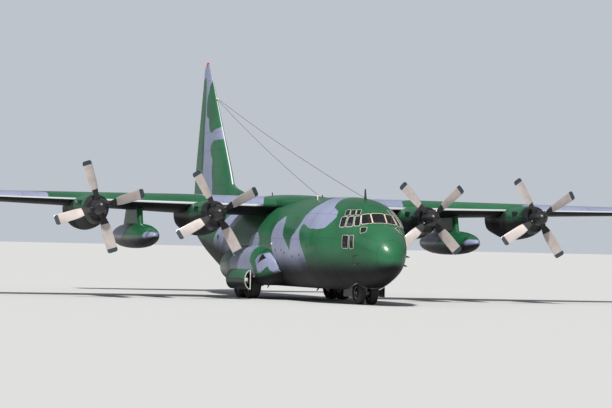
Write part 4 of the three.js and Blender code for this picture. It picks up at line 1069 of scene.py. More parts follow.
@dataclass
class Cockpit:
    """Radome, cockpit skin, windows, crew door and flight deck.

    door_half, door_heights and door_turn are the crew door's half width, its lower and upper edge and how
    far it's turned with the skin. well is the nose wheel opening's half width, front and rear.
    """

    hull: Hull
    joint: float = 1.4
    rear: float = 5.5
    hinge: tuple[float, float, float] = (1.57, 4.535, 1.13)
    door_half: float = 0.385
    door_heights: tuple[float, float] = (1.12, 2.3)
    door_turn: float = math.radians(10.66)
    door_shrink: float = 0.012
    sill_gap: float = 0.075
    joint_gap: float = 0.0008
    well: tuple[float, float, float] = (0.74, 2.5, 4.3)

    def door_field(self, points: np.ndarray, gap: float, sill: float) -> np.ndarray:
        """Distance to the crew door's rounded outline on the port side, positive inside."""
        along = (math.sin(self.door_turn), math.cos(self.door_turn))
        run = (points[:, 0] - self.hinge[0]) * along[0] + (points[:, 1] - self.hinge[1]) * along[1]
        low, high = self.door_heights[0] - sill, self.door_heights[1] + gap
        half = (self.door_half + gap, (high - low) / 2)
        box = rounded_box(run, points[:, 2] - (low + high) / 2, half, 0.07)
        return np.where(points[:, 0] > 0.5, box, -1.0)

    def shell_field(self, points: np.ndarray) -> np.ndarray:
        """Trims the windows, the crew door and the nose wheel well out of the skin."""
        keep = -self.door_field(points, RUNNING, self.sill_gap)
        for pane in PANES:
            keep = np.minimum(keep, -pane.inside(points) - 0.01)
        x, front, rear = self.well
        hole = rounded_box(points[:, 0], points[:, 1] - (front + rear) / 2, (x, (rear - front) / 2), 0.05)
        return np.minimum(keep, np.maximum(-hole, points[:, 2] - 1.5))

    def radome(self) -> None:
        """Makes the solid radome: rings of the skin from the tip to the joint.

        The rear face would tip the last ring's normals down, so that ring takes those of the one before it.
        """
        sides = 120
        y = self.joint * np.linspace(0.0, 1.0, 44) ** 2 + 1e-5
        stations, angles = np.meshgrid(y - self.joint_gap * (y > 1), all_round(sides + 1)[:-1], indexing="ij")
        shape = loft(self.hull.at(stations, angles), spread(stations + 0.62, 0.6))
        # down carries the painted shade of the underside.
        down = -shape.normals()[:, 2]
        down[-sides - 2 : -2] = down[-2 * sides - 2 : -sides - 2]
        place("radome", shape.marked(camo=-1.0, down=down), Finish.HULL, stands_for=["nose_radome"])

    def shell(self) -> None:
        """Makes the cockpit's skin, with its stations crowded round the windows."""
        front, rear = self.joint + self.joint_gap, self.rear - self.joint_gap
        stations = np.concatenate([[front, 1.47], np.arange(1.55, 3.15, 0.026), np.linspace(3.16, rear, 32)])
        shape = self.hull.section_sheet(stations, all_round(217), self.shell_field)
        place("cockpit_skin", shape, Finish.HULL, stands_for=["cockpit_shell"])

    def windows(self) -> None:
        """Makes each pane's frame, seal and glass as thin sheets between offsets of the skin."""
        frames, seals, rubbers, panes = [], [], [], []
        for pane in PANES:
            points, normal, size = self.hull.local_patch(pane.places(), 0.05, 72)
            flat, out, tris = points.reshape(-1, 3), normal.reshape(-1, 3), grid_tris(*size)
            inside, uv = pane.inside(flat), flat[:, :2]
            band = np.minimum(inside + pane.frame, -inside)
            frames.append(cut_sheet(flat + out * 0.009, flat - out * 0.03, tris, band, uv))
            line = np.minimum(inside + 0.002, 0.009 - inside)
            front = pane.name.startswith(("centre", "front"))
            seal = cut_sheet(flat + out * 0.006, flat - out * 0.03, tris, line, uv)
            (seals if front else rubbers).append(seal)
            points, normal, size = self.hull.local_patch(pane.places(), 0.1, 26)
            flat, out = points.reshape(-1, 3), normal.reshape(-1, 3)
            clear = pane.inside(flat) - 0.004
            front, back = flat - out * 0.008, flat - out * 0.026
            panes.append(cut_sheet(front, back, grid_tris(*size), clear, flat[:, :2]))
        place("window_frames", combined(frames), Finish.CREAM, slot=Slot.WHITE)
        place("window_seals", combined(seals), Finish.ORANGE, slot=Slot.TRIM)
        place("side_window_seals", combined(rubbers), Finish.DARK, slot=Slot.TRIM)
        place("window_panes", combined(panes), Finish.GLASS, slot=Slot.GLASS, stands_for=["cockpit_glazing"])

    def crew_door(self) -> None:
        """Makes the crew door with its steps and rails; each step is deeper the lower it is."""
        def outline(points: np.ndarray) -> np.ndarray:
            """The door's own outline, a little inside its opening."""
            return self.door_field(points, -self.door_shrink, self.door_shrink)

        stations = np.linspace(3.95, 5.12, 60)
        shape = self.hull.section_sheet(stations, np.radians(np.linspace(-62, 8, 70)), outline)
        place_skin("crew_door", shape, Finish.HULL, "crew_door_body")
        c, s = math.cos(self.door_turn), math.sin(self.door_turn)
        turn = np.array([[c, s, 0], [-s, c, 0], [0, 0, 1]])
        parts = []
        for z in (1.4, 1.68, 1.96):
            rise = z - self.hinge[2]
            depth = 0.3 - 0.1375 * rise**1.5
            low, high = (0.3 * rise - depth - 0.02, -0.26, z - 0.02), (0.1 + 0.2 * rise, 0.26, z + 0.02)
            parts.append(block(low, high))
        for end in (-0.29, 0.29):
            rail = [(-0.12, end, 1.24), (0.0, end, 1.5), (0.1, end, 1.8), (0.14, end, 2.2)]
            parts.append(tube(rail, 0.022, 10, 4))
        steps = combined(parts).moved((self.hinge[0], self.hinge[1], 0), turn)
        place("crew_door_steps", steps, Finish.STEEL, "crew_door_body", Slot.STEEL)

    def deck(self) -> None:
        """Makes the floor, panel, consoles, dials, seats and control columns of the flight deck."""
        half = [(0.95, 2.3), (1.25, 2.9), (1.55, 3.6), (1.66, 4.08)]
        floor = [(-x, y) for x, y in half] + half[::-1]
        metal = prism(floor, 2.1, 2.2, 2)
        place("flight_deck_floor", metal, Finish.FLOOR, slot=Slot.TRIM, stands_for=["flight_deck"])
        panel = [(2.02, 2.2), (2.02, 2.75), (1.98, 3.02), (2.02, 3.12), (2.3, 3.14), (2.24, 3.0), (2.2, 2.6),
                 (2.24, 2.2)]
        trim = [prism(panel, -0.84, 0.84, 0), block((-0.16, 2.3, 2.2), (0.16, 3.0, 2.78), 0.04)]
        trim += [block((s - 0.1, 2.5, 2.2), (s + 0.1, 3.3, 2.62), 0.04) for s in (-1, 1)]
        place("instrument_panel", combined(trim), Finish.DARK, slot=Slot.TRIM)
        dial = [(0.0, -0.012), (0.055, -0.012), (0.06, -0.002), (0.052, 0.004), (0.0, 0.002)]
        dials = [
            turned(dial, (0, 1, -0.12), (x, 2.225, z), 16)
            for x in np.linspace(-0.72, 0.72, 9)
            for z in (2.62, 2.78, 2.94)
        ]
        place("dials", combined(dials), Finish.CREAM, slot=Slot.TRIM)
        covers, frames = zip(*(self.seat(x) for x in (-0.62, 0.62)))
        place("crew_seats", combined(covers), Finish.CLOTH, slot=Slot.TRIM)
        place("seat_frames", combined(frames), Finish.DARK, slot=Slot.TRIM)

    def seat(self, x: float) -> tuple[Shape, Shape]:
        """One seat's cushions, and its legs and arms with the control column ahead of it."""
        cushions = [
            block((x - 0.25, 2.82, 2.56), (x + 0.25, 3.32, 2.7), 0.06),
            block((x - 0.23, 3.28, 2.68), (x + 0.23, 3.41, 3.34), 0.06),
            block((x - 0.13, 3.3, 3.36), (x + 0.13, 3.39, 3.52), 0.04),
        ]
        legs = [block((x + a, 2.9, 2.2), (x + a + 0.05, 3.25, 2.57)) for a in (-0.2, 0.15)]
        arms = [block((x + a - 0.03, 2.95, 2.84), (x + a + 0.03, 3.3, 2.89), 0.02) for a in (-0.28, 0.28)]
        column = tube([(x, 2.45, 2.22), (x, 2.5, 2.6), (x, 2.58, 2.8)], 0.025, 10, 4)
        t = np.linspace(0.15 * math.pi, -1.15 * math.pi, 15)
        yoke = tube(spread(x + 0.16 * np.cos(t), 2.6, 2.84 + 0.13 * np.sin(t)), 0.016, 8)
        return combined(cushions), combined([*legs, *arms, column, yoke])

    def build(self) -> None:
        """Makes every piece."""
        self.radome()
        self.shell()
        self.windows()
        self.crew_door()
        self.deck()


@dataclass
class Hold:
    """Barrel, hold fittings, ramp, doors and tail of the fuselage.

    paratroop is the side doors' two stations and two heights, and porthole their window's height and
    radius. well is the wheel openings' inner edge, top, middle station and half length.
    """

    hull: Hull
    front: float = 5.5
    rear: float = 17.6
    tail: float = 26.4
    slope: float = math.atan2(1.98, 5.5)
    keel: tuple[float, float] = (18.1, 0.62)
    ramp_half: float = 1.42
    ramp_length: float = 3.1
    door_rear: float = 25.7
    door_half: tuple[float, float] = (1.36, 0.86)
    ramp_top: float = 1.03
    paratroop: tuple[float, float, float, float] = (17.72, 18.63, 1.45, 3.25)
    porthole: tuple[float, float] = (2.72, 0.14)
    well: tuple[float, float, float, float] = (1.5, 1.98, 13.175, 1.776)

    def along(self, points: np.ndarray) -> tuple[np.ndarray, np.ndarray]:
        """Distance along the sloping keel and height over it."""
        dy, dz = points[:, 1] - self.keel[0], points[:, 2] - self.keel[1]
        c, s = math.cos(self.slope), math.sin(self.slope)
        return dy * c + dz * s, dz * c - dy * s

    def ramp_field(self, points: np.ndarray, gap: float) -> np.ndarray:
        """Distance inside the ramp's outline."""
        run, _ = self.along(points)
        side = self.ramp_half + gap - np.abs(points[:, 0])
        return np.minimum(side, np.minimum(points[:, 1] - self.keel[0] + gap, self.ramp_length + gap - run))

    def door_field(self, points: np.ndarray, gap: float) -> np.ndarray:
        """Distance inside the aft door's tapering outline."""
        run, _ = self.along(points)
        start = self.ramp_length + RUNNING
        end = (self.door_rear - self.keel[0]) / math.cos(self.slope)
        share = np.clip((run - start) / (end - start), 0, 1)
        half = self.door_half[0] + (self.door_half[1] - self.door_half[0]) * share
        return np.minimum(half + gap - np.abs(points[:, 0]), np.minimum(run - start + gap, end + gap - run))

    def side_door_field(self, points: np.ndarray, gap: float) -> np.ndarray:
        """Distance inside either paratroop door's rounded outline."""
        y0, y1, z0, z1 = self.paratroop
        half = ((y1 - y0) / 2 + gap, (z1 - z0) / 2 + gap)
        box = rounded_box(points[:, 1] - (y0 + y1) / 2, points[:, 2] - (z0 + z1) / 2, half, 0.12)
        return np.where(np.abs(points[:, 0]) > 1.0, box, -1.0)

    def barrel_field(self, points: np.ndarray) -> np.ndarray:
        """Trims the openings of the wheel wells."""
        inner, top, middle, half = self.well
        side = np.maximum(inner - np.abs(points[:, 0]), points[:, 2] - top)
        return np.maximum(side, np.abs(points[:, 1] - middle) - half)

    def aft_field(self, points: np.ndarray) -> np.ndarray:
        """Trims the ramp, the aft door and the paratroop doors."""
        _, over = self.along(points)
        opening = np.maximum(self.ramp_field(points, RUNNING), self.door_field(points, RUNNING))
        return np.minimum(np.maximum(-opening, over - 0.75), -self.side_door_field(points, 0.001))

    def barrel(self) -> None:
        """Makes the parallel middle of the fuselage, with its stations crowded at the wheel wells."""
        parts = (self.front, 11.3, 46), (11.36, 15.0, 44), (15.1, self.rear, 20)
        stations = np.concatenate([np.linspace(*part) for part in parts])
        shape = self.hull.section_sheet(stations, all_round(151), self.barrel_field)
        place("barrel_skin", shape, Finish.HULL, stands_for=["barrel_shell"])

    def aft(self) -> None:
        """Makes the upswept rear skin."""
        stations = np.linspace(self.rear + 0.001, self.tail - 0.001, 115)
        shape = self.hull.section_sheet(stations, all_round(181), self.aft_field)
        place("aft_skin", shape, Finish.HULL, stands_for=["aft_shell"])

    def tail_cone(self) -> None:
        """Makes the pointed tail: rings of the skin to the tip."""
        y = self.tail + (LENGTH - self.tail) * np.linspace(0, 1, 50) ** 0.8
        y[-1] -= 1e-4
        stations, angles = np.meshgrid(y, all_round(97)[:-1], indexing="ij")
        shape = loft(self.hull.at(stations, angles), spread(stations, unrolled(angles)))
        camo = self.hull.camo(shape.points, rolled(shape.uv[:, 1]))
        place_skin("tail_cone", shape.marked(camo=camo), Finish.HULL)

    def ramp(self) -> None:
        """Makes the ramp with its tread bars."""
        c, s = math.cos(self.slope), math.sin(self.slope)
        start, base = self.keel[0], self.ramp_top
        run = self.ramp_length * c - 0.2 * s
        climb = self.keel[1] + self.ramp_length * s + 0.2 * c - base

        def top(points: np.ndarray) -> np.ndarray:
            """The ramp's flat upper face over each outer point."""
            return np.column_stack([points[:, :2], base + climb * (points[:, 1] - start) / run])

        def outline(points: np.ndarray) -> np.ndarray:
            """The ramp's own outline."""
            return self.ramp_field(points, 0.0)

        angles = np.radians(np.linspace(-140, -40, 90))
        shape = self.hull.section_sheet(np.linspace(18.06, 21.2, 70), angles, outline, inner=top)
        place("ramp_skin", shape, Finish.HULL, "ramp_body", stands_for=["cargo_ramp"])
        bars = []
        for share in np.linspace(0.06, 0.94, 22):
            y, z = start + share * run, base + share * climb
            bars.append(block((-1.3, y - 0.015, z - 0.01), (1.3, y + 0.015, z + 0.014), 0.008))
        place("ramp_tread", combined(bars), Finish.FLOOR, "ramp_body", Slot.FLOOR)

    def aft_door(self) -> None:
        """Makes the aft cargo door."""
        thick = 0.18

        def top(points: np.ndarray) -> np.ndarray:
            """The door's inner face over each outer point."""
            level = self.keel[1] + (points[:, 1] - self.keel[0]) * math.tan(self.slope)
            level = level + thick / math.cos(self.slope)
            return np.column_stack([points[:, :2], np.maximum(level, points[:, 2] + 0.01)])

        def outline(points: np.ndarray) -> np.ndarray:
            """The door's own outline."""
            return self.door_field(points, 0.0)

        angles = np.radians(np.linspace(-155, -25, 100))
        shape = self.hull.section_sheet(np.linspace(20.8, 25.8, 90), angles, outline, inner=top)
        place("aft_door_skin", shape, Finish.HULL, "aft_door_body", stands_for=["aft_cargo_door"])

    def side_doors(self) -> None:
        """Makes the paratroop doors, each with a round window and its rim."""
        middle = sum(self.paratroop[:2]) / 2
        level, radius = self.porthole
        lens = [(0, -0.01), (radius, -0.01), (radius + 0.005, 0.0), (radius, 0.012), (0, 0.012)]
        rim = [(0.135, -0.02), (0.175, -0.02), (0.175, 0.025), (0.16, 0.034), (0.135, 0.02)]
        for side in Side:
            def part(points: np.ndarray) -> np.ndarray:
                """Keeps the door's outline less its window."""
                window = radius - np.hypot(points[:, 1] - middle, points[:, 2] - level)
                mine = np.where(points[:, 0] * side.value > 0, 1.0, -1.0)
                return np.minimum(np.minimum(self.side_door_field(points, -0.004), -window), mine)

            angles = np.radians(np.linspace(-45, 40, 80))
            angles = angles if side is Side.port else math.pi - angles
            shape = self.hull.section_sheet(np.linspace(17.65, 18.7, 60), angles, part, depth=0.1)
            name = f"paratroop_door_{side.name}"
            place_skin(name, shape, Finish.HULL)
            way, spot = (side.value, 0, 0), (side.value * 2.1, middle, level)
            place(f"{name}_window", turned(lens, way, spot, 28), Finish.GLASS, slot=Slot.GLASS)
            place(f"{name}_window_rim", turned(rim, way, spot, 28), Finish.DARK, slot=Slot.GREY)

    def inside(self) -> None:
        """Makes the hold's hoop frames, and the floor's rails with their rollers."""
        angles = np.radians(np.linspace(-28, 208, 80))
        hoops = [self.hoop(y, angles) for y in np.arange(6.0, 17.5, 1.016)]
        place("hold_frames", combined(hoops), Finish.PRIMER, slot=Slot.GREY)
        rails, rollers = [], []
        roller = [(0.0, -0.06), (0.026, -0.055), (0.026, 0.055), (0.0, 0.06)]
        for x in (-0.95, -0.35, 0.35, 0.95):
            for edge in (x - 0.075, x + 0.075):
                rails.append(block((edge - 0.012, 5.8, 1.03), (edge + 0.012, 17.9, 1.085), 0.006))
            rollers += [turned(roller, (1, 0, 0), (x, y, 1.062), 8) for y in np.arange(6.0, 17.8, 0.3)]
        place("floor_rails", combined(rails), Finish.STEEL, slot=Slot.FLOOR)
        place("floor_rollers", combined(rollers), Finish.STEEL, slot=Slot.FLOOR)

    def hoop(self, y: float, angles: np.ndarray) -> Shape:
        """One frame: a square band carried round the inside of the skin."""
        near, far = WALL + 0.005, WALL + 0.09
        corners = ((-0.03, near), (0.03, near), (0.03, far), (-0.03, far))
        rings = [self.hull.at(np.full(len(angles), y + step), angles, inset) for step, inset in corners]
        return loft(np.stack(rings, 1))

    def build(self) -> None:
        """Makes every piece."""
        self.barrel()
        self.aft()
        self.tail_cone()
        self.ramp()
        self.aft_door()
        self.side_doors()
        self.inside()


# Wing and tail
WING_ROWS = np.array([
    # span, leading edge, chord, thickness, level, twist in degrees
    (0.0, 11.5, 4.88, 0.18, 4.22, 3.0),
    (5.6, 11.5, 4.88, 0.175, 4.25, 3.0),
    (19.75, 12.08, 2.55, 0.12, 4.4, 0.3),
    (19.95, 12.15, 2.32, 0.112, 4.41, 0.3),
    (20.1, 12.28, 2.0, 0.1, 4.42, 0.3),
    (20.165, 12.4, 1.74, 0.082, 4.42, 0.3),
    (HALF_SPAN, 12.6, 1.3, 0.05, 4.42, 0.3),
])
TAIL_ROWS = np.array([
    (0.0, 24.75, 4.6, 0.115, 4.65, 0.0),
    (7.6, 26.25, 2.5, 0.1, 4.65, 0.0),
    (7.78, 26.34, 2.3, 0.094, 4.65, 0.0),
    (7.9, 26.5, 2.0, 0.08, 4.65, 0.0),
    (7.98, 26.66, 1.66, 0.068, 4.65, 0.0),
    (8.025, 26.85, 1.3, 0.05, 4.65, 0.0),
])
FIN_ROWS = np.array([
    (4.3, 22.15, 7.6, 0.085, 0.0, 0.0),
    (6.1, 23.27, 6.23, 0.09, 0.0, 0.0),
    (10.45, 26.47, 1.95, 0.1, 0.0, 0.0),
    (11.25, 27.08, 1.17, 0.1, 0.0, 0.0),
    (11.45, 27.23, 0.94, 0.09, 0.0, 0.0),
    (11.55, 27.32, 0.78, 0.08, 0.0, 0.0),
    (11.61, 27.4, 0.6, 0.065, 0.0, 0.0),
    (HEIGHT, 27.5, 0.4, 0.05, 0.0, 0.0),
])
# Grey patches of the wing and tailplane as (x, y), and green ones of the fin as (y, z)
WING_GREY = [
    [(-4.3, 10.5), (-4.7, 12.2), (-5.6, 13.4), (-5.2, 14.6), (-6.4, 15.6), (-6.2, 17.5), (-2.6, 17.5),
     (-3.4, 15.6), (-2.2, 14.2), (-0.8, 13.6), (0.4, 14.4), (1.6, 15.8), (2.6, 15.2), (3.4, 17.5),
     (6.0, 17.5), (6.6, 15.4), (5.4, 14.2), (5.8, 12.8), (4.8, 12.0), (4.6, 10.5)],
    [(-21, 10.5), (-21, 17.5), (-15.2, 17.5), (-15.8, 15.2), (-13.6, 14.2), (-13.2, 12.9), (-11.9, 12.2),
     (-11.8, 10.5)],
    [(-9.6, 17.5), (-9.4, 15.2), (-8.2, 14.3), (-7.7, 15.4), (-8.3, 17.5)],
    [(10.7, 10.5), (10.9, 12.1), (12.2, 12.9), (12.6, 14.0), (14.4, 14.3), (15.2, 15.4), (14.6, 17.5),
     (18.0, 17.5), (18.2, 14.8), (17.2, 13.6), (18.4, 12.6), (18.6, 10.5)],
    [(8.2, 17.5), (8.5, 15.0), (9.6, 14.2), (10.4, 15.2), (10.0, 17.5)],
]
TAIL_GREY = [
    [(-9, 24), (-9, 30), (-5.6, 30), (-5.8, 28), (-4.4, 27.3), (-4.8, 25.8), (-5.4, 24)],
    [(-0.8, 24), (-1.4, 26.4), (-0.4, 28), (-1.8, 30), (1.2, 30), (1.8, 27.6), (3.2, 26.9), (2.6, 24)],
    [(5.2, 24), (5.0, 26.6), (6.2, 27.5), (5.6, 30), (9, 30), (9, 24)],
]
FIN_GREEN = [
    [(26.72, 10.72), (25.9, 11.0), (22.6, 8.9), (23.4, 8.42), (24.9, 8.36), (25.6, 8.2), (26.3, 8.08),
     (26.62, 8.3), (26.74, 8.85), (27.2, 8.9), (27.38, 9.5), (27.24, 9.9), (27.02, 10.15), (26.9, 10.45)],
    [(22.0, 7.66), (24.4, 7.72), (25.6, 7.68), (26.15, 7.4), (26.1, 7.04), (25.62, 6.68), (25.72, 6.15),
     (25.5, 5.5), (25.4, 4.0), (17, 4.0), (17, 5.5), (21.5, 6.6)],
    [(27.55, 4.5), (27.6, 7.4), (27.5, 9.2), (27.6, 10.6), (27.75, 11.0), (29.8, 10.5), (30.2, 4.5)],
]


@dataclass
class Aerofoil:
    """A flying surface: a table of sections along its span, and rings of points round them."""

    rows: np.ndarray
    camber: float = 0.0
    standing: bool = False
    sign: int = 1

    def read(self, span: np.ndarray) -> np.ndarray:
        """The table between its rows, in straight lines."""
        return straight_table(span, self.rows)

    def height(self, share: np.ndarray, thick: np.ndarray) -> np.ndarray:
        """Half the thickness at a share of the chord: the usual four-digit curve, with a blunt tail."""
        curve = 0.2969 * np.sqrt(share) - 0.126 * share - 0.3516 * share**2
        curve = curve + 0.2843 * share**3 - 0.1036 * share**4
        return 5 * thick * curve + 0.0016 * share

    def lift(self, span: np.ndarray, along: np.ndarray, up: np.ndarray) -> np.ndarray:
        """Points from distances along and above the chord line, turned by the section's twist."""
        lead, _, _, level, twist = (column[:, None] for column in self.read(span).T)
        wide = np.broadcast_to(np.asarray(span)[:, None], along.shape)
        if self.standing:
            return np.stack([up, lead + along, wide], -1)
        c, s = np.cos(np.radians(twist)), np.sin(np.radians(twist))
        return np.stack([wide * self.sign, lead + along * c + up * s, level - along * s + up * c], -1)

    def skin(self, span: np.ndarray, share: np.ndarray, side: int) -> tuple[np.ndarray, np.ndarray]:
        """Distances along and above the chord for points of one side (1 upper, -1 lower)."""
        _, chord, thick, _, _ = (column[:, None] for column in self.read(span).T)
        up = self.camber * 4 * share * (1 - share) + side * self.height(share, thick)
        return share * chord, up * chord

    def chord_point(self, share: np.ndarray, chord: np.ndarray) -> tuple[np.ndarray, np.ndarray]:
        """The point of the cambered middle line at a share of the chord."""
        return share * chord, self.camber * 4 * share * (1 - share) * chord

    def patch(self, spans: tuple[float, float], shares: tuple[float, float], side: int, lift: float) -> Shape:
        """A thin plate lying on the skin, with its edges sunk into it."""
        span = np.linspace(*spans, 12)
        share = np.broadcast_to(np.linspace(*shares, 12), (12, 12))
        along, up = self.skin(span, share, side)
        outer, inner = (self.lift(span, along, up + side * d).reshape(-1, 3) for d in (lift, -0.01))
        return thick_sheet(outer, inner, grid_tris(12, 12), outer[:, :2])


@dataclass(frozen=True)
class Hinged:
    """A flap, aileron, elevator or rudder: its place along the span, hinge line and gaps."""

    name: str
    start: float
    end: float
    hinge: tuple[float, float]
    gap: float = RUNNING
    swings: tuple[bool, bool] = (True, True)
    body: str = ""

    def share(self, foil: Aerofoil, span: np.ndarray) -> np.ndarray:
        """Share of the chord at which the hinge line crosses each place."""
        y = self.hinge[0] + (self.hinge[1] - self.hinge[0]) * (span - self.start) / (self.end - self.start)
        lead, chord = foil.read(span)[:, :2].T
        return (y - lead) / chord


@dataclass
class FlyingSurface:
    """Builds the fixed surface with its coves, and the hinged pieces in them."""

    foil: Aerofoil
    hinged: Sequence[Hinged]
    camo: Callable[[np.ndarray], np.ndarray]
    finish: Finish
    forward: int = 34
    aft: int = 7

    def section(self, span: np.ndarray, piece: Hinged | None) -> tuple[np.ndarray, np.ndarray]:
        """Rings of the fixed surface at some places, whole or with a cove for one hinged piece.

        The front runs from the upper lip round the nose to the lower lip, crowded at the nose as the
        square of the step. Behind it a whole ring follows the skins to the tail, and a cut one the cove:
        an arc about the hinge whose radius runs from one lip's distance to the other's.
        """
        foil = self.foil
        _, chord, thick, _, _ = foil.read(span).T
        hinge = np.full(len(span), 0.7) if piece is None else piece.share(foil, span)
        radius = foil.height(hinge, thick) * chord
        open_lip, tight_lip = 0.3 * radius + 0.05, np.sqrt(2.2 * radius * RUNNING) + 0.01
        swings = (False, False) if piece is None else piece.swings
        lips = [(hinge - (open_lip if swing else tight_lip) / chord)[:, None] for swing in swings]
        t = np.linspace(0, 1, self.forward) ** 2
        upper = foil.skin(span, lips[0] * t[::-1], 1)
        lower = foil.skin(span, lips[1] * t[1:], -1)
        if piece is None:
            step = np.linspace(0, 1, self.aft + 1)[1:]
            under = foil.skin(span, lips[1] + (1 - lips[1]) * step, -1)
            over = foil.skin(span, lips[0] + (1 - lips[0]) * step[::-1], 1)
            tail = [np.concatenate([under[i], over[i]], 1) for i in (0, 1)]
        else:
            centre = foil.chord_point(hinge, chord)
            ends = [[edge[i][:, k] - centre[i] for i in (0, 1)] for edge, k in ((lower, -1), (upper, 0))]
            far = [np.hypot(*e) for e in ends]
            angle = [np.arctan2(e[1], e[0]) % TAU for e in ends]
            step = np.linspace(0, 1, 2 * self.aft + 2)[1:-1]
            turn = angle[0][:, None] + (angle[1] - angle[0])[:, None] * step
            reach = far[0][:, None] + (far[1] - far[0])[:, None] * step
            tail = [centre[0][:, None] + reach * np.cos(turn), centre[1][:, None] + reach * np.sin(turn)]
        return tuple(np.concatenate([upper[i], lower[i], tail[i]], 1) for i in (0, 1))

    def fixed(self, start: float, end: float) -> Shape:
        """The fixed surface between two places, stepping into and out of each cove."""
        bays = [piece for piece in self.hinged if piece.start >= start and piece.end <= end]
        rings, at = [], start
        for bay in sorted(bays, key=lambda piece: piece.start):
            rings += [self.run(at, bay.start, None), self.run(bay.start, bay.end, bay)]
            at = bay.end
        rings.append(self.run(at, end, None))
        points, uvs = (np.concatenate(part) for part in zip(*rings))
        # Painted highlight: pale marks a band round the nose of each section.
        pale = np.zeros(points.shape[:2])
        pale[:, self.forward - 2 : self.forward + 1] = 1.0
        shape = loft(points, uvs)
        return shape.marked(camo=self.camo(shape.points), pale=np.append(pale, (0.0, 0.0)))

    def run(self, start: float, end: float, piece: Hinged | None) -> tuple[np.ndarray, np.ndarray]:
        """Rings between two places, at most about a quarter of a metre apart and at every table row."""
        rows = self.foil.rows[:, 0]
        inner = rows[(rows > start + 0.01) & (rows < end - 0.01)]
        even = np.linspace(start, end, max(2, int((end - start) / 0.25)))
        span = np.unique(np.round(np.concatenate([even, inner]), 5))
        along, up = self.section(span, piece)
        return self.foil.lift(span, along, up), spread(span[:, None], along)

    def moving(self, piece: Hinged) -> Shape:
        """A hinged piece: a half-round nose about the hinge, then the skins to the tail."""
        foil = self.foil
        rings = max(4, int((piece.end - piece.start) / 0.25))
        span = np.linspace(piece.start + piece.gap, piece.end - piece.gap, rings)
        _, chord, thick, _, _ = foil.read(span).T
        hinge = piece.share(foil, span)
        radius = (foil.height(hinge, thick) * chord)[:, None]
        centre = foil.chord_point(hinge, chord)
        turn = np.linspace(math.pi / 2, 1.5 * math.pi, 15)
        nose = [centre[0][:, None] + radius * np.cos(turn), centre[1][:, None] + radius * np.sin(turn)]
        step, lip = np.linspace(0, 1, 10)[1:], hinge[:, None]
        under = foil.skin(span, lip + (1 - lip) * step, -1)
        over = foil.skin(span, lip + (1 - lip) * step[::-1], 1)
        along, up = (np.concatenate([nose[i], under[i], over[i]], 1) for i in (0, 1))
        shape = loft(foil.lift(span, along, up), spread(span[:, None], along))
        return shape.marked(camo=self.camo(shape.points))


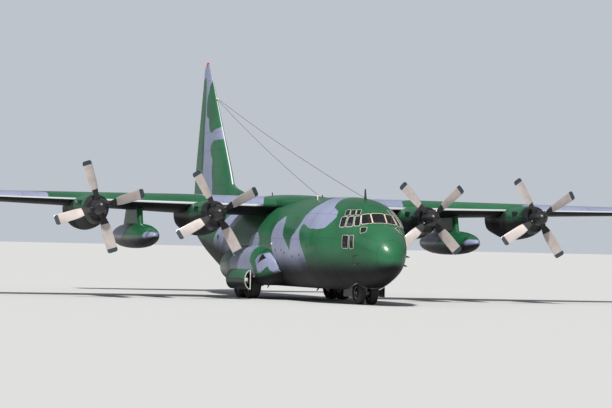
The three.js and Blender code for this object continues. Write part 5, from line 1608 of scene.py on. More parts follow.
@dataclass
class Wing:
    """The whole wing with its flaps and ailerons, and the fairing over its root."""

    joint: float = 5.6
    root: float = 2.1
    soot_x: tuple[float, ...] = (5.0, 10.3)
    soot_width: float = 0.42
    soot_from: float = 13.2
    soot_over: float = 2.0

    def hinges(self, side: Side) -> list[Hinged]:
        """The hinged pieces of one side."""
        def at(span: float, share: float) -> float:
            """The station of a share of the chord."""
            lead, chord = straight_table(np.array([span]), WING_ROWS)[0, :2]
            return float(lead + share * chord)

        rows = (
            ("flap_inner", 2.1, 5.45, 0.72, 0.02, (False, True), f"inner_flap_{side.name}"),
            ("flap_outer", 5.75, 12.15, 0.72, 0.05, (False, True), f"outer_flap_{side.name}"),
            ("aileron", 12.4, 19.5, 0.75, 0.03, (True, True), f"{side.name}_aileron"),
        )
        return [
            Hinged(f"{name}_{side.name}", start, end, (at(start, share), at(end, share)), gap, swings, body)
            for name, start, end, share, gap, swings, body in rows
        ]

    def camo(self, points: np.ndarray) -> np.ndarray:
        """Distance to the outlines seen from above; the root is green ahead of a slanting line."""
        root = (points[:, 1] - 11.5 + (np.abs(points[:, 0]) - 2.05) * 2.4) / 2.6
        return np.minimum(patches(points[:, :2], WING_GREY), root)

    def soot(self, shape: Shape) -> Shape:
        """Marks the exhaust stain: a narrow bell behind each engine, fading forwards, under the wing."""
        x, y = shape.points[:, 0], shape.points[:, 1]
        low = np.clip(-shape.normals()[:, 2] + 0.35, 0, 1)
        stain = sum(np.exp(-(((np.abs(x) - at) / self.soot_width) ** 2)) for at in self.soot_x)
        return shape.marked(soot=stain * np.clip((y - self.soot_from) / self.soot_over, 0, 1) * low)

    def build(self) -> None:
        """Makes every piece; the painted highlight on the leading edge ends at the root."""
        surfaces = {}
        for side in Side:
            foil = Aerofoil(WING_ROWS, 0.016, sign=side.value)
            surfaces[side] = FlyingSurface(foil, self.hinges(side), self.camo, Finish.WING)
        centre = combined([surface.fixed(0.0, self.joint) for surface in surfaces.values()])
        centre = centre.marked(pale=centre.marks["pale"] * (np.abs(centre.points[:, 0]) > self.root))
        place_skin("wing_centre", self.soot(centre), Finish.WING, slot=Slot.GREY)
        for side, surface in surfaces.items():
            outer = self.soot(surface.fixed(self.joint + 0.001, HALF_SPAN))
            place_skin(f"wing_outer_{side.name}", outer, Finish.WING, slot=Slot.GREY)
            for hinged in surface.hinged:
                piece = self.soot(surface.moving(hinged))
                place_skin(hinged.name, piece, Finish.WING, hinged.body, Slot.GREY)
            self.tips(side)
        self.fairing()

    def tips(self, side: Side) -> None:
        """Makes the tip light and the static wicks of one side."""
        lens = [(0.0, -0.1), (0.03, -0.085), (0.05, -0.03), (0.052, 0.06), (0.04, 0.14), (0.0, 0.2)]
        light = turned(lens, (0, 1, 0.01), (side.value * 20.06, 12.3, 4.42), 16)
        finish = Finish.RUST if side is Side.port else Finish.LIME
        place(f"tip_light_{side.name}", light, finish, slot=Slot.GLASS)
        wicks = []
        for span in np.linspace(13.0, 19.2, 6):
            lead, chord, _, level, twist = straight_table(np.array([span]), WING_ROWS)[0]
            edge = np.array([side.value * span, lead + chord, level - chord * math.sin(math.radians(twist))])
            wicks.append(tube([edge + (0, run, 0) for run in (-0.03, 0.07, 0.17)], 0.006, 6))
        place(f"static_wicks_{side.name}", combined(wicks), Finish.DARK, f"{side.name}_aileron", Slot.BLADE)

    def fairing(self) -> None:
        """Makes the fairing over the wing's root: flattened half-rings along the roof, closed below."""
        rows = np.array([
            # y, half width, roof
            (9.6, 0.5, 4.6), (11.3, 1.35, 4.7), (13.0, 1.5, 4.76), (15.0, 1.4, 4.73), (17.0, 0.9, 4.64),
        ])
        springing, sunk = 4.25, 4.1
        y = np.linspace(9.6, 17.0, 60)[:, None]
        width, top = smooth_table(y[:, 0], rows).T[:, :, None]
        t = np.linspace(0, math.pi, 40)
        x = width * signed_power(np.cos(t), 0.75)
        z = springing + (top - springing) * np.sin(t) ** 0.45
        x = np.concatenate([x, x[:, -1:] * 0.96, x[:, :1] * 0.96], 1)
        z = np.concatenate([z, np.full((len(y), 2), sunk)], 1)
        shape = loft(spread(x, y, z), spread(y, 0.08 * np.arange(1, 43)))
        camo = self.camo(shape.points)
        place("root_fairing", shape.marked(camo=camo), Finish.HULL, stands_for=["wing_root_fairing"])


@dataclass
class Tail:
    """Fin, rudder, tailplane, elevators and their small fittings."""

    def fin_camo(self, points: np.ndarray) -> np.ndarray:
        """Distance to the outlines seen from the side, positive on grey."""
        return -patches(points[:, 1:], FIN_GREEN)

    def tail_camo(self, points: np.ndarray) -> np.ndarray:
        """Distance to the outlines seen from above."""
        return patches(points[:, :2], TAIL_GREY)

    def fillet(self) -> Shape:
        """The long fillet ahead of the fin: narrow round-topped rings that grow aft."""
        rows = np.array([
            # y, half width, top
            (18.6, 0.02, 4.6), (20.05, 0.08, 4.86), (21.4, 0.13, 5.07), (22.3, 0.17, 5.24), (22.9, 0.2, 5.44),
            (23.4, 0.22, 5.9),
        ])
        sunk = 4.2
        y = np.linspace(18.6, 23.4, 70)[:, None]
        width, top = smooth_table(y[:, 0], rows).T[:, :, None]
        t = np.linspace(0, math.pi, 25)
        x = width * (1.6 - 0.6 * np.sin(t) ** 0.5) * signed_power(np.cos(t), 0.6)
        z = sunk + (top - sunk) * np.sin(t) ** 0.55
        return loft(spread(x, y, z), spread(y, z))

    def build(self) -> None:
        """Makes every piece."""
        rudder = Hinged("rudder", 5.0, 10.4, (28.1, 27.72), body="rudder_body")
        fin = FlyingSurface(Aerofoil(FIN_ROWS, standing=True), [rudder], self.fin_camo, Finish.FIN)
        fillet = self.fillet()
        shape = fin.fixed(4.3, HEIGHT) + fillet.marked(camo=self.fin_camo(fillet.points))
        place_skin("fin", shape, Finish.FIN)
        place_skin("rudder", fin.moving(rudder), Finish.FIN, rudder.body)
        strips = [fin.foil.patch((6.36, 7.83), (0.69, 0.72), side, 0.006).outward() for side in (1, -1)]
        place("fin_slots", combined(strips), Finish.BLACK, slot=Slot.GREY)
        for side in Side:
            elevator = Hinged(f"elevator_{side.name}", 0.9, 7.5, (27.95, 27.95), body="elevators")
            foil = Aerofoil(TAIL_ROWS, sign=side.value)
            surface = FlyingSurface(foil, [elevator], self.tail_camo, Finish.WING)
            place_skin(f"tailplane_{side.name}", surface.fixed(0.3, 8.025), Finish.WING)
            place_skin(elevator.name, surface.moving(elevator), Finish.WING, elevator.body)
        dome = [(0.0, -0.06), (0.07, -0.06), (0.075, 0.0), (0.06, 0.07), (0.03, 0.1), (0.0, 0.11)]
        beacon = turned(dome, (0, 0, 1), (0, 27.68, HEIGHT), 20)
        place("fin_beacon", beacon, Finish.RUST, slot=Slot.GLASS)


# Engines and propellers
NACELLE_ROWS = np.array([
    # share of the length, half width, reach above and below the axis
    (0.0, 0.47, 0.47, 0.6),
    (0.012, 0.5, 0.5, 0.63),
    (0.08, 0.55, 0.55, 0.78),
    (0.24, 0.57, 0.56, 0.93),
    (0.45, 0.57, 0.5, 1.0),
    (0.7, 0.52, 0.4, 0.92),
    (0.9, 0.42, 0.3, 0.72),
    (1.0, 0.34, 0.2, 0.6),
])
BLADE_ROWS = np.array([
    # distance from the axis, chord, thickness, pitch in degrees
    (0.22, 0.2, 0.16, 50.0),
    (0.34, 0.2, 0.16, 47.0),
    (0.6, 0.33, 0.1, 38.0),
    (1.1, 0.46, 0.06, 26.0),
    (1.95, 0.46, 0.028, 14.0),
    (2.03, 0.4, 0.023, 12.6),
    (2.057, 0.3, 0.018, 12.0),
])


@dataclass
class Engine:
    """One nacelle with its intake and exhaust, and its propeller, turned by the angle at rest."""

    name: str
    x: float
    z: float
    tail: float
    angle: float
    front: float = 9.06
    plane: float = 8.75

    def cowl(self, low: float, high: float, grow: float = 0.0) -> Shape:
        """Nacelle rings between two shares of its length: an ellipse with unlike halves above and below."""
        share = np.linspace(low, high, 50)[:, None]
        width, up, down = smooth_table(share[:, 0], NACELLE_ROWS).T[:, :, None] + grow
        t = all_round(57)[:-1]
        rise = np.sin(t)
        x = self.x + width * signed_power(np.cos(t), 0.94)
        z = self.z + np.where(rise > 0, up, down) * signed_power(rise, 0.96)
        y = self.front + (self.tail - self.front) * share
        return loft(spread(x, y, z), spread(y + 0.02, (t + math.pi / 2) * 0.6))

    def nacelle(self) -> None:
        """Makes the nacelle, its black front ring, vents, chin intake and exhaust."""
        cowl = self.cowl(0.03, 0.985)
        y, z = cowl.points[:, 1], cowl.points[:, 2]
        # Painted shade behind the wing's leading edge and low on the sides, partly also the nacelle's own
        # dark paint.
        soot = np.clip((y - 11.1) / 0.5, 0, 1) * np.clip((self.z + 0.42 - z) / 0.12, 0, 1) * 1.6
        place_skin(f"nacelle_{self.name}", cowl.marked(camo=-1.0, soot=soot), Finish.COWL)
        ring = self.cowl(0.0, 0.07, 0.004)
        t = np.linspace(0, TAU, 33)
        chin_z = self.z - 0.5
        lip = tube(spread(self.x + 0.27 * np.cos(t), 9.115, chin_z + 0.12 * np.sin(t)), 0.034, 10)
        flange = [(0.3, 9.02), (0.44, 9.035), (0.475, 9.07), (0.475, 9.12), (0.3, 9.12)]
        collar = turned(flange, (0, 1, 0), (self.x, 0, self.z), 40)
        vents = [
            block((self.x + s * 0.5, y, self.z + 0.1), (self.x + s * 0.572, y + 0.07, self.z + 0.26), 0.01)
            for s in (-1, 1)
            for y in (10.0, 10.13, 10.26, 10.39)
        ]
        place(f"cowl_ring_{self.name}", combined([ring, lip, collar, *vents]), Finish.BLACK, slot=Slot.BLADE)
        plug = turned([(0.0, 0.0), (0.11, 0.0), (0.115, 0.03), (0.0, 0.03)], (0, 1, 0), (0, 0, 0), 24)
        plug = replace(plug, points=plug.points * (2.3, 1, 1)).moved((self.x, 9.09, chin_z))
        duct = [(self.x, 9.3, chin_z), (self.x, 9.8, chin_z - 0.03), (self.x, 10.8, chin_z - 0.16)]
        chin = tube(duct, (0.14, 0.17, 0.05), 20, 6)
        place(f"intake_{self.name}", combined([plug, chin]), Finish.DARK, slot=Slot.BLADE)
        pipe = [(0.2, -0.62), (0.235, -0.6), (0.235, -0.02), (0.225, 0.0), (0.205, 0.0), (0.2, -0.03),
                (0.19, -0.5), (0.0, -0.5), (0.0, -0.62)]
        nozzle = turned(pipe, (0, 1, 0), (self.x, self.tail, self.z - 0.2), 32)
        place(f"exhaust_{self.name}", nozzle, Finish.BURNT, slot=Slot.STEEL)

    def blade(self) -> Shape:
        """One blade: thin lens-shaped rings, blunter at the front edge, twisted and tapering outwards."""
        steps = (0.22, 1.0, 22), (1.05, 1.95, 20), (1.97, 2.057, 7)
        r = np.concatenate([np.linspace(*step) for step in steps])
        chord, thick, pitch = smooth_table(r, BLADE_ROWS).T[:, :, None]
        t = np.linspace(0, TAU, 25)[:-1]
        across = chord / 2 * np.cos(t)
        out = thick / 2 * np.sin(t) * (0.8 + 0.2 * np.cos(t))
        c, s = np.cos(np.radians(pitch)), np.sin(np.radians(pitch))
        shape = loft(spread(across * c - out * s, across * s + out * c, r[:, None]))
        front = np.clip(np.cos(t) * 4 - 3, 0, 1)
        reach, lead = (np.broadcast_to(v, across.shape) for v in (r[:, None], front))
        return shape.marked(reach=np.append(reach, (r[0], r[-1])), lead=np.append(lead, (0, 0)))

    def propeller(self) -> None:
        """Makes the spinner with its blade roots, and the four blades."""
        body, centre = f"prop_{self.name}", (self.x, self.plane, self.z)
        boot = [(0.0, 0.2), (0.125, 0.2), (0.135, 0.3), (0.125, 0.37), (0.14, 0.38), (0.14, 0.42),
                (0.11, 0.44), (0.0, 0.45)]
        root, blade = turned(boot, (0, 0, 1), (0, 0, 0), 20), self.blade()
        blades, roots = [], []
        for k in range(4):
            a = math.radians(self.angle + 90 * k)
            turn = np.array([[math.cos(a), 0, math.sin(a)], [0, 1, 0], [-math.sin(a), 0, math.cos(a)]])
            blades.append(blade.moved(centre, turn))
            roots.append(root.moved(centre, turn))
        place(f"blades_{self.name}", combined(blades), Finish.BLADE, body, Slot.BLADE)
        u = np.linspace(0, 1, 26)
        nose = np.column_stack([0.37 * np.sin(u * math.pi / 2) ** 0.8, -0.65 + 0.72 * u**1.6])
        drum = [(0.378, 0.09), (0.368, 0.095), (0.368, 0.105), (0.38, 0.11), (0.38, 0.255), (0.37, 0.27),
                (0.0, 0.27)]
        hub = combined([turned([*nose, *drum], (0, 1, 0), centre, 40), *roots])
        place(f"spinner_{self.name}", hub, Finish.BLACK, body, Slot.BLADE, [f"propeller_{self.name}"])

    def build(self) -> None:
        """Makes every piece."""
        self.nacelle()
        self.propeller()


ENGINES = [
    Engine("port_outer", 10.3, 3.93, 14.35, 57),
    Engine("port_inner", 5.0, 3.79, 14.7, 47),
    Engine("starboard_inner", -5.0, 3.79, 14.7, 60),
    Engine("starboard_outer", -10.3, 3.93, 14.35, 72),
]


@dataclass
class Tank:
    """An external tank under the wing, with its pylon."""

    side: Side
    x: float = 7.6
    nose: float = 9.42
    length: float = 6.98
    radius: float = 0.56
    z: float = 2.73

    def build(self) -> None:
        """Makes both pieces and the filler cap."""
        x, name = self.side.value * self.x, self.side.name
        self.body(x, f"tank_{name}")
        self.pylon(x, f"tank_{name}")

    def body(self, x: float, name: str) -> None:
        """Makes the tank, radius times (1 - |2s - 1| ^ 2.4) ^ 0.5 along its length, with two raised bands."""
        s = (1 - np.cos(np.linspace(0, math.pi, 90))) / 2
        radius = self.radius * (1 - np.abs(2 * s - 1) ** 2.4) ** 0.5
        band = np.isin(np.arange(90), (26, 27, 60, 61)) * 0.006
        profile = np.column_stack([radius + band, s * self.length])
        shape = turned(profile, (0, 1, 0), (x, self.nose, self.z), 56)
        y, z = shape.points[:, 1], shape.points[:, 2]
        ahead = 0.2 - np.hypot((y - 9.75) * 0.42, z - self.z + 0.02)
        behind = 0.5 - np.hypot((y - 14.2) * 0.35, z - self.z - 0.3)
        place_skin(name, shape.marked(camo=np.maximum(ahead, behind)), Finish.TANK)
        lid = [(0.0, -0.01), (0.09, -0.01), (0.1, 0.004), (0.085, 0.014), (0.0, 0.016)]
        cap = turned(lid, (0, 0, 1), (x, 12.3, self.z + self.radius), 20)
        place(f"{name}_cap", cap, Finish.STEEL, slot=Slot.STEEL)

    def pylon(self, x: float, name: str) -> None:
        """Makes the pylon: level rings from the tank to the wing, blunt in front and sharp behind."""
        ends = (11.75, 12.15), (15.1, 14.45), (2.95, 4.25)
        front, rear, height = (np.linspace(low, high, 20)[:, None] for low, high in ends)
        share = (1 - np.cos(np.linspace(0, math.pi, 20))) / 2
        thick = 0.135 * (4.2 * np.sqrt(share) * (1 - share)).clip(0, 1.0) ** 0.7
        half = np.concatenate([thick, -thick[-2:0:-1]])
        station = np.concatenate([share, share[-2:0:-1]])
        rings = spread(x + half, front + (rear - front) * station, height)
        shape = loft(rings, rings[:, :, 1:] + (0.3, 0.2)).marked(camo=-0.6)
        place(f"{name}_pylon", shape, Finish.FIN, stands_for=[f"tank_pylon_{self.side.name}"])


# Landing gear
SPONSON_ROWS = np.array([
    # y, reach, top, underside
    (9.34, 1.98, 1.58, 1.26),
    (9.4, 2.06, 1.7, 1.2),
    (9.5, 2.18, 1.88, 1.06),
    (9.75, 2.34, 2.05, 0.88),
    (10.2, 2.5, 2.24, 0.7),
    (11.0, 2.62, 2.4, 0.63),
    (12.0, 2.66, 2.44, 0.62),
    (14.6, 2.66, 2.42, 0.62),
    (16.2, 2.5, 2.2, 0.75),
    (17.4, 2.2, 1.7, 1.1),
    (17.58, 2.02, 1.55, 1.22),
])
SPONSON_GREEN = [
    [(11.3, 2.8), (9.5, 2.8), (9.7, 2.18), (10.0, 2.1), (10.55, 2.0), (10.75, 1.75), (10.63, 1.44),
     (10.45, 1.2), (10.86, 1.21), (11.45, 1.74)],
    [(8.5, 1.12), (9.35, 1.12), (9.6, 1.3), (9.75, 1.5), (10.0, 1.35), (10.2, 1.2), (10.86, 1.21),
     (10.9, 0.3), (8.5, 0.3)],
    [(14.0, 2.9), (13.7, 2.2), (14.5, 1.7), (14.2, 1.2), (15.0, 0.3), (18.5, 0.3), (18.5, 2.9)],
]


@dataclass(frozen=True)
class Wheel:
    """A wheel: grooved tyre and a bolted rim."""

    name: str
    body: str
    node: str
    centre: tuple[float, float, float]
    radius: float
    width: float
    grooves: tuple[float, ...]
    bolts: int

    def tyre(self) -> Shape:
        """The tyre: a rounded wall read from a table, with narrow grooves round a nearly flat tread."""
        rows = np.array([
            # step, distance from the middle, height over the rim, as shares
            (0.0, 0.36, 0.0), (0.1, 0.42, 0.05), (0.25, 0.485, 0.22), (0.4, 0.5, 0.45), (0.55, 0.485, 0.66),
            (0.7, 0.44, 0.83), (0.8, 0.38, 0.92), (0.9, 0.3, 0.965), (1.0, 0.0, 1.0),
        ])
        t = np.concatenate([np.linspace(0, 0.85, 12), np.linspace(0.87, 1.0, 38)])
        out, up = smooth_table(t, rows).T
        out = np.concatenate([out, -out[-2::-1]]) * self.width
        up = np.concatenate([up, up[-2::-1]])
        cut = sum(np.clip(1.6 - np.abs(out - g * self.width) / 0.006, 0, 1) for g in self.grooves)
        rim = 0.52 * self.radius
        r = rim + (self.radius - rim) * up - 0.012 * cut
        profile = np.column_stack([r, out])
        closed = [(rim - 0.02, profile[0, 1] * 0.98), *profile, (rim - 0.02, profile[-1, 1] * 0.98)]
        shape = turned(closed, (1, 0, 0), self.centre, 72)
        reach = np.hypot(shape.points[:, 1] - self.centre[1], shape.points[:, 2] - self.centre[2])
        return shape.marked(pale=(reach > self.radius - 0.03).astype(float))

    def rim(self) -> Shape:
        """Both dished faces of the rim, with bolts round the hub, and lids over its cooling holes."""
        r, half = self.radius, self.width * 0.36
        face = [(0.52, 1.0), (0.515, 1.06), (0.49, 1.07), (0.475, 1.0), (0.45, 0.68), (0.4, 0.5), (0.3, 0.46),
                (0.22, 0.52), (0.17, 0.6), (0.14, 0.62), (0.13, 0.78), (0.105, 0.84), (0.0, 0.85)]
        profile = [(a * r, -b * half) for a, b in face[::-1]] + [(a * r, b * half) for a, b in face]
        bolt = [(0.022 * r, -0.02), (0.026 * r, 0.012), (0.0, 0.016)]
        lid = [(0.0, -0.004), (0.036 * r, 0.002), (0.03 * r, 0.012), (0.0, 0.006)]
        parts = [turned(profile, (1, 0, 0), self.centre, 56)]
        for way in (-1, 1):
            parts += self.circle(bolt, way, 0.48 * half, 0.35 * r, self.bolts, 0.0, 6)
            parts += self.circle(lid, way, 0.53 * half, 0.425 * r, 8, 0.5, 14)
        return combined(parts)

    def circle(
        self, profile: Sequence, way: int, out: float, reach: float, count: int, start: float, sides: int
    ) -> list[Shape]:
        """Copies of one turned piece on a circle round the hub.

        Args:
            profile: the piece's profile.
            way: which face it's on, as the sign of x.
            out: distance from the wheel's middle plane.
            reach: the circle's radius.
            count: how many copies.
            start: where the first one is, in steps.
            sides: sides of each piece.
        """
        spots = []
        for turn in TAU * (np.arange(count) + start) / count:
            spots.append(np.array(self.centre) + (way * out, reach * math.cos(turn), reach * math.sin(turn)))
        return [turned(profile, (way, 0, 0), spot, sides) for spot in spots]

    def build(self) -> None:
        """Makes both pieces."""
        place(f"{self.name}_tyre", self.tyre(), Finish.TYRE, self.body, Slot.TYRE, [self.node])
        place(f"{self.name}_rim", self.rim(), Finish.WHITE, self.body, Slot.WHITE)


@dataclass
class MainGear:
    """One side's sponson, wheel well, legs, wheels and long door.

    The sponson's rings spring from the core line and end at the root line, inside the fuselage, and
    roundness is the power of their cosine. It's open below opening_top between the opening's stations.
    """

    side: Side
    wheel_x: float = 2.175
    rows: tuple[tuple[str, float], ...] = (("front", 12.42), ("rear", 13.94))
    radius: float = 0.711
    leg_x: float = 1.74
    opening: tuple[float, float] = (11.46, 14.89)
    opening_top: float = 1.1
    core: float = 1.75
    root: float = 1.4
    roundness: float = 0.7
    door_y: tuple[float, float] = (11.05, 14.15)
    door_x: float = 2.69
    door_z: float = 0.86

    def sponson(self) -> None:
        """Makes the sponson, hollow and open below, from rounded-box half-rings along the side.

        x is the core plus the rest of the reach times a power of the cosine, and z the middle plus half
        the height times a power of the sine. Each ring ends inside the fuselage.
        """
        s, name = self.side.value, f"sponson_{self.side.name}"
        y = np.unique(np.concatenate([np.linspace(9.34, 17.58, 84), np.linspace(11.3, 15.05, 40)]))[:, None]
        reach, top, low = smooth_table(y[:, 0], SPONSON_ROWS).T[:, :, None]
        t = np.linspace(math.pi / 2, -math.pi / 2, 52)
        middle, half = (top + low) / 2, (top - low) / 2
        hidden = np.full((len(y), 1), self.root)
        skins = []
        for inset in (0.0, 0.06):
            x = self.core + np.maximum(reach - self.core - inset, 0.02) * np.cos(t).clip(0) ** self.roundness
            z = middle + np.maximum(half - inset, 0.02) * signed_power(np.sin(t), 0.8)
            x, z = np.hstack([hidden, x, hidden]), np.hstack([z[:, :1], z, z[:, -1:]])
            skins.append(spread(s * x, y, z).reshape(-1, 3))
        uv = spread(y, np.linspace(0, 3.6, 54)).reshape(-1, 2)
        outer = skins[0]
        beyond = np.abs(outer[:, 1] - sum(self.opening) / 2) - np.ptp(self.opening) / 2
        keep = np.maximum(beyond, outer[:, 2] - self.opening_top)
        shell = cut_sheet(outer, skins[1], grid_tris(len(y), 54), keep, uv)
        shell = shell.marked(camo=-patches(shell.points[:, 1:], SPONSON_GREEN))
        place_skin(name, shell, Finish.HULL, slot=Slot.GREY)

    def well(self) -> None:
        """Makes the wheel well's walls, with ribs on the inner one."""
        front, rear = self.opening
        end = [(1.5, 0.68), (1.85, 0.68), (2.15, 0.76), (2.36, 0.9), (2.5, 1.12), (2.56, 1.5), (2.46, 1.97),
               (1.5, 1.97)]
        walls = [
            block((1.5, front, 0.64), (1.555, rear, 1.97), 0.01),
            block((1.5, front, 1.925), (2.46, rear, 1.97), 0.01),
            prism(end, front - 0.05, front, 1),
            prism(end, rear, rear + 0.05, 1),
        ]
        stations = np.arange(front + 0.3, rear - 0.1, 0.44)
        ribs = [block((1.55, y, 0.7), (1.59, y + 0.04, 1.93), 0.008) for y in stations]
        lining = combined([*walls, *ribs])
        lining = lining if self.side is Side.port else lining.mirrored()
        place(f"wheel_well_{self.side.name}", lining, Finish.PRIMER, slot=Slot.GREY)

    def reach(self, y: np.ndarray, z: np.ndarray) -> np.ndarray:
        """How far out the sponson's side is at a station and height: the ring's formula solved for x."""
        out, top, low = smooth_table(np.asarray(y, float), SPONSON_ROWS).T
        share = np.abs(z - (top + low) / 2) / ((top - low) / 2)
        return self.core + (out - self.core) * np.sqrt(1 - share.clip(0, 1) ** 2.5) ** self.roundness

    def fittings(self) -> None:
        """Makes the three-cornered air intake, drawn as painted shade, with its lip, and the sponson's lamp.
        """
        s, name = self.side.value, self.side.name
        tip, top, low = np.array([(9.92, 1.86), (10.3, 2.05), (10.42, 1.67)])
        share, across = np.meshgrid(np.linspace(0.02, 1, 12), np.linspace(0, 1, 12), indexing="ij")
        spots = tip + share.reshape(-1, 1) * (top - tip + across.reshape(-1, 1) * (low - top))
        out = self.reach(*spots.T)
        outer, inner = (np.column_stack([s * (out + lift), spots]) for lift in (0.012, -0.02))
        # Painted shade: a thin black sheet on the skin stands for the shaded opening of the intake.
        hole = thick_sheet(outer, inner, grid_tris(12, 12), spots)
        place(f"sponson_intake_{name}", hole, Finish.BLACK, slot=Slot.GREY)
        edge = top + np.linspace(0, 1, 9)[:, None] * (low - top)
        lip = tube(np.column_stack([s * (self.reach(*edge.T) + 0.02), edge]), 0.022, 8)
        place(f"sponson_lip_{name}", lip.marked(camo=0.4), Finish.HULL, slot=Slot.GREY)
        lens = [(0.0, 0.0), (0.055, 0.0), (0.05, 0.025), (0.0, 0.04)]
        lamp = turned(lens, (s, -0.3, 0), (s * 2.545, 11.0, 1.02), 18)
        place(f"sponson_light_{name}", lamp, Finish.ORANGE, slot=Slot.GLASS)

    def leg(self, row: str, y: float) -> None:
        """Makes one leg with its axle, brake, link and side rails."""
        s, z, name = self.side.value, self.radius, f"{self.side.name}_{row}"
        post = [(0.0, -0.14), (0.09, -0.14), (0.12, -0.1), (0.125, 0.1), (0.112, 0.14), (0.112, 0.36),
                (0.125, 0.38), (0.125, 0.42), (0.088, 0.44), (0.088, 0.62), (0.1, 0.63), (0.1, 0.7),
                (0.088, 0.72), (0.088, 1.2), (0.0, 1.2)]
        axle = [(0.0, -0.02), (0.085, 0.0), (0.085, 0.1), (0.0695, 0.12), (0.0695, 0.65), (0.0, 0.66)]
        foot = (s * self.leg_x, y, z)
        parts = [turned(post, (0, 0, 1), foot, 28), turned(axle, (s, 0, 0), foot, 24)]
        for k in (y - 0.1, y + 0.1):
            rail = [(s * 1.66, k, z + 0.1), (s * 1.585, k, z + 0.45), (s * 1.66, k, z + 0.85)]
            parts.append(tube(rail, 0.024, 8))
        link = [(s * 1.74, y, z + 0.78), (s * 2.05, y, z + 1.02), (s * 2.2, y, z + 1.22)]
        parts.append(tube(link, 0.03, 10, 3))
        node = f"main_leg_{name}"
        place(f"{node}_post", combined(parts), Finish.WHITE, slot=Slot.WHITE, stands_for=[node])
        disc = [(0.06, 0.0), (0.27, 0.0), (0.28, 0.012), (0.28, 0.03), (0.25, 0.04), (0.25, 0.06),
                (0.28, 0.065), (0.28, 0.075), (0.06, 0.08)]
        pot = [(0.0, -0.03), (0.035, -0.03), (0.04, 0.03), (0.0, 0.03)]
        brakes = [turned(disc, (s, 0, 0), (s * 1.835, y, z), 36)]
        for turn in np.arange(5) * TAU / 5:
            spot = (s * 1.82, y + 0.2 * math.cos(turn), z + 0.2 * math.sin(turn))
            brakes.append(turned(pot, (s, 0, 0), spot, 10))
        place(f"brake_{name}", combined(brakes), Finish.BURNT, slot=Slot.STEEL)

    def arc(self, y: float, out: float, tall: float, count: int) -> np.ndarray:
        """A half ellipse round the long door's middle line at one station, from the top down."""
        t = np.linspace(math.pi / 2, -math.pi / 2, count)
        x = self.side.value * (self.door_x + out * np.cos(t))
        return spread(x, y, self.door_z + tall * np.sin(t))

    def door(self) -> None:
        """Makes the long door: a half-round shell, closed and rounded behind, with a white rim in front.

        The shell is half ellipses along the door. Over its last tenth both their half axes shrink as a
        quarter circle does.
        """
        s, name = self.side.value, f"main_gear_door_{self.side.name}"
        share = np.linspace(0, 1, 60)[:, None]
        y = self.door_y[0] + (self.door_y[1] - self.door_y[0]) * share
        close = np.sqrt(np.clip(1 - ((share - 0.9).clip(0) / 0.1) ** 2, 0.0, 1))
        t = np.linspace(math.pi / 2, -math.pi / 2, 41)
        skins = []
        for inset in (0.0, 0.05):
            out = (0.3 * (0.35 + 0.65 * close) - inset).clip(0.01)
            tall = 0.45 * (0.45 + 0.55 * close) - inset
            x = self.door_x + out * np.cos(t).clip(0)
            skins.append(spread(s * x, y, self.door_z + tall * np.sin(t)).reshape(-1, 3))
        shell = thick_sheet(skins[0], skins[1], grid_tris(60, 41), spread(y, t * 0.45).reshape(-1, 2))
        cap = loft(np.stack([self.arc(14.11, 0.12, 0.2, 21), self.arc(14.14, 0.121, 0.201, 21)]))
        skin = combined([shell, cap]).marked(camo=-1.0, wear=0.3)
        # Painted shade: the door darkens towards its lower edge.
        skin = skin.marked(soot=np.clip((0.98 - skin.points[:, 2]) / 0.2, 0, 1) * 1.6)
        place_skin(name, skin, Finish.FIN)
        ribs = [tube(self.arc(y, 0.25, 0.385, 21), 0.022, 6) for y in np.arange(11.5, 14.0, 0.55)]
        place(f"{name}_ribs", combined(ribs), Finish.PRIMER, slot=Slot.GREY)
        rim = tube(self.arc(11.07, 0.275, 0.425, 33)[::-1], 0.026, 10)
        post = tube([(s * 2.7, 11.07, 0.44), (s * 2.7, 11.07, 1.28)], 0.024, 10)
        near, far = sorted((s * 2.82, s * 2.95))
        lamp = block((near, 11.03, 0.78), (far, 11.2, 0.94), 0.02)
        place(f"{name}_rim", combined([rim, post, lamp]), Finish.WHITE, slot=Slot.WHITE)

    def build(self) -> None:
        """Makes every piece."""
        self.sponson()
        self.well()
        self.fittings()
        self.door()
        grooves = (-0.24, -0.08, 0.08, 0.24)
        for row, y in self.rows:
            self.leg(row, y)
            name = f"wheel_{self.side.name}_{row}"
            centre = (self.side.value * self.wheel_x, y, self.radius)
            Wheel(f"main_{name}", name, f"main_{name}", centre, self.radius, 0.508, grooves, 10).build()


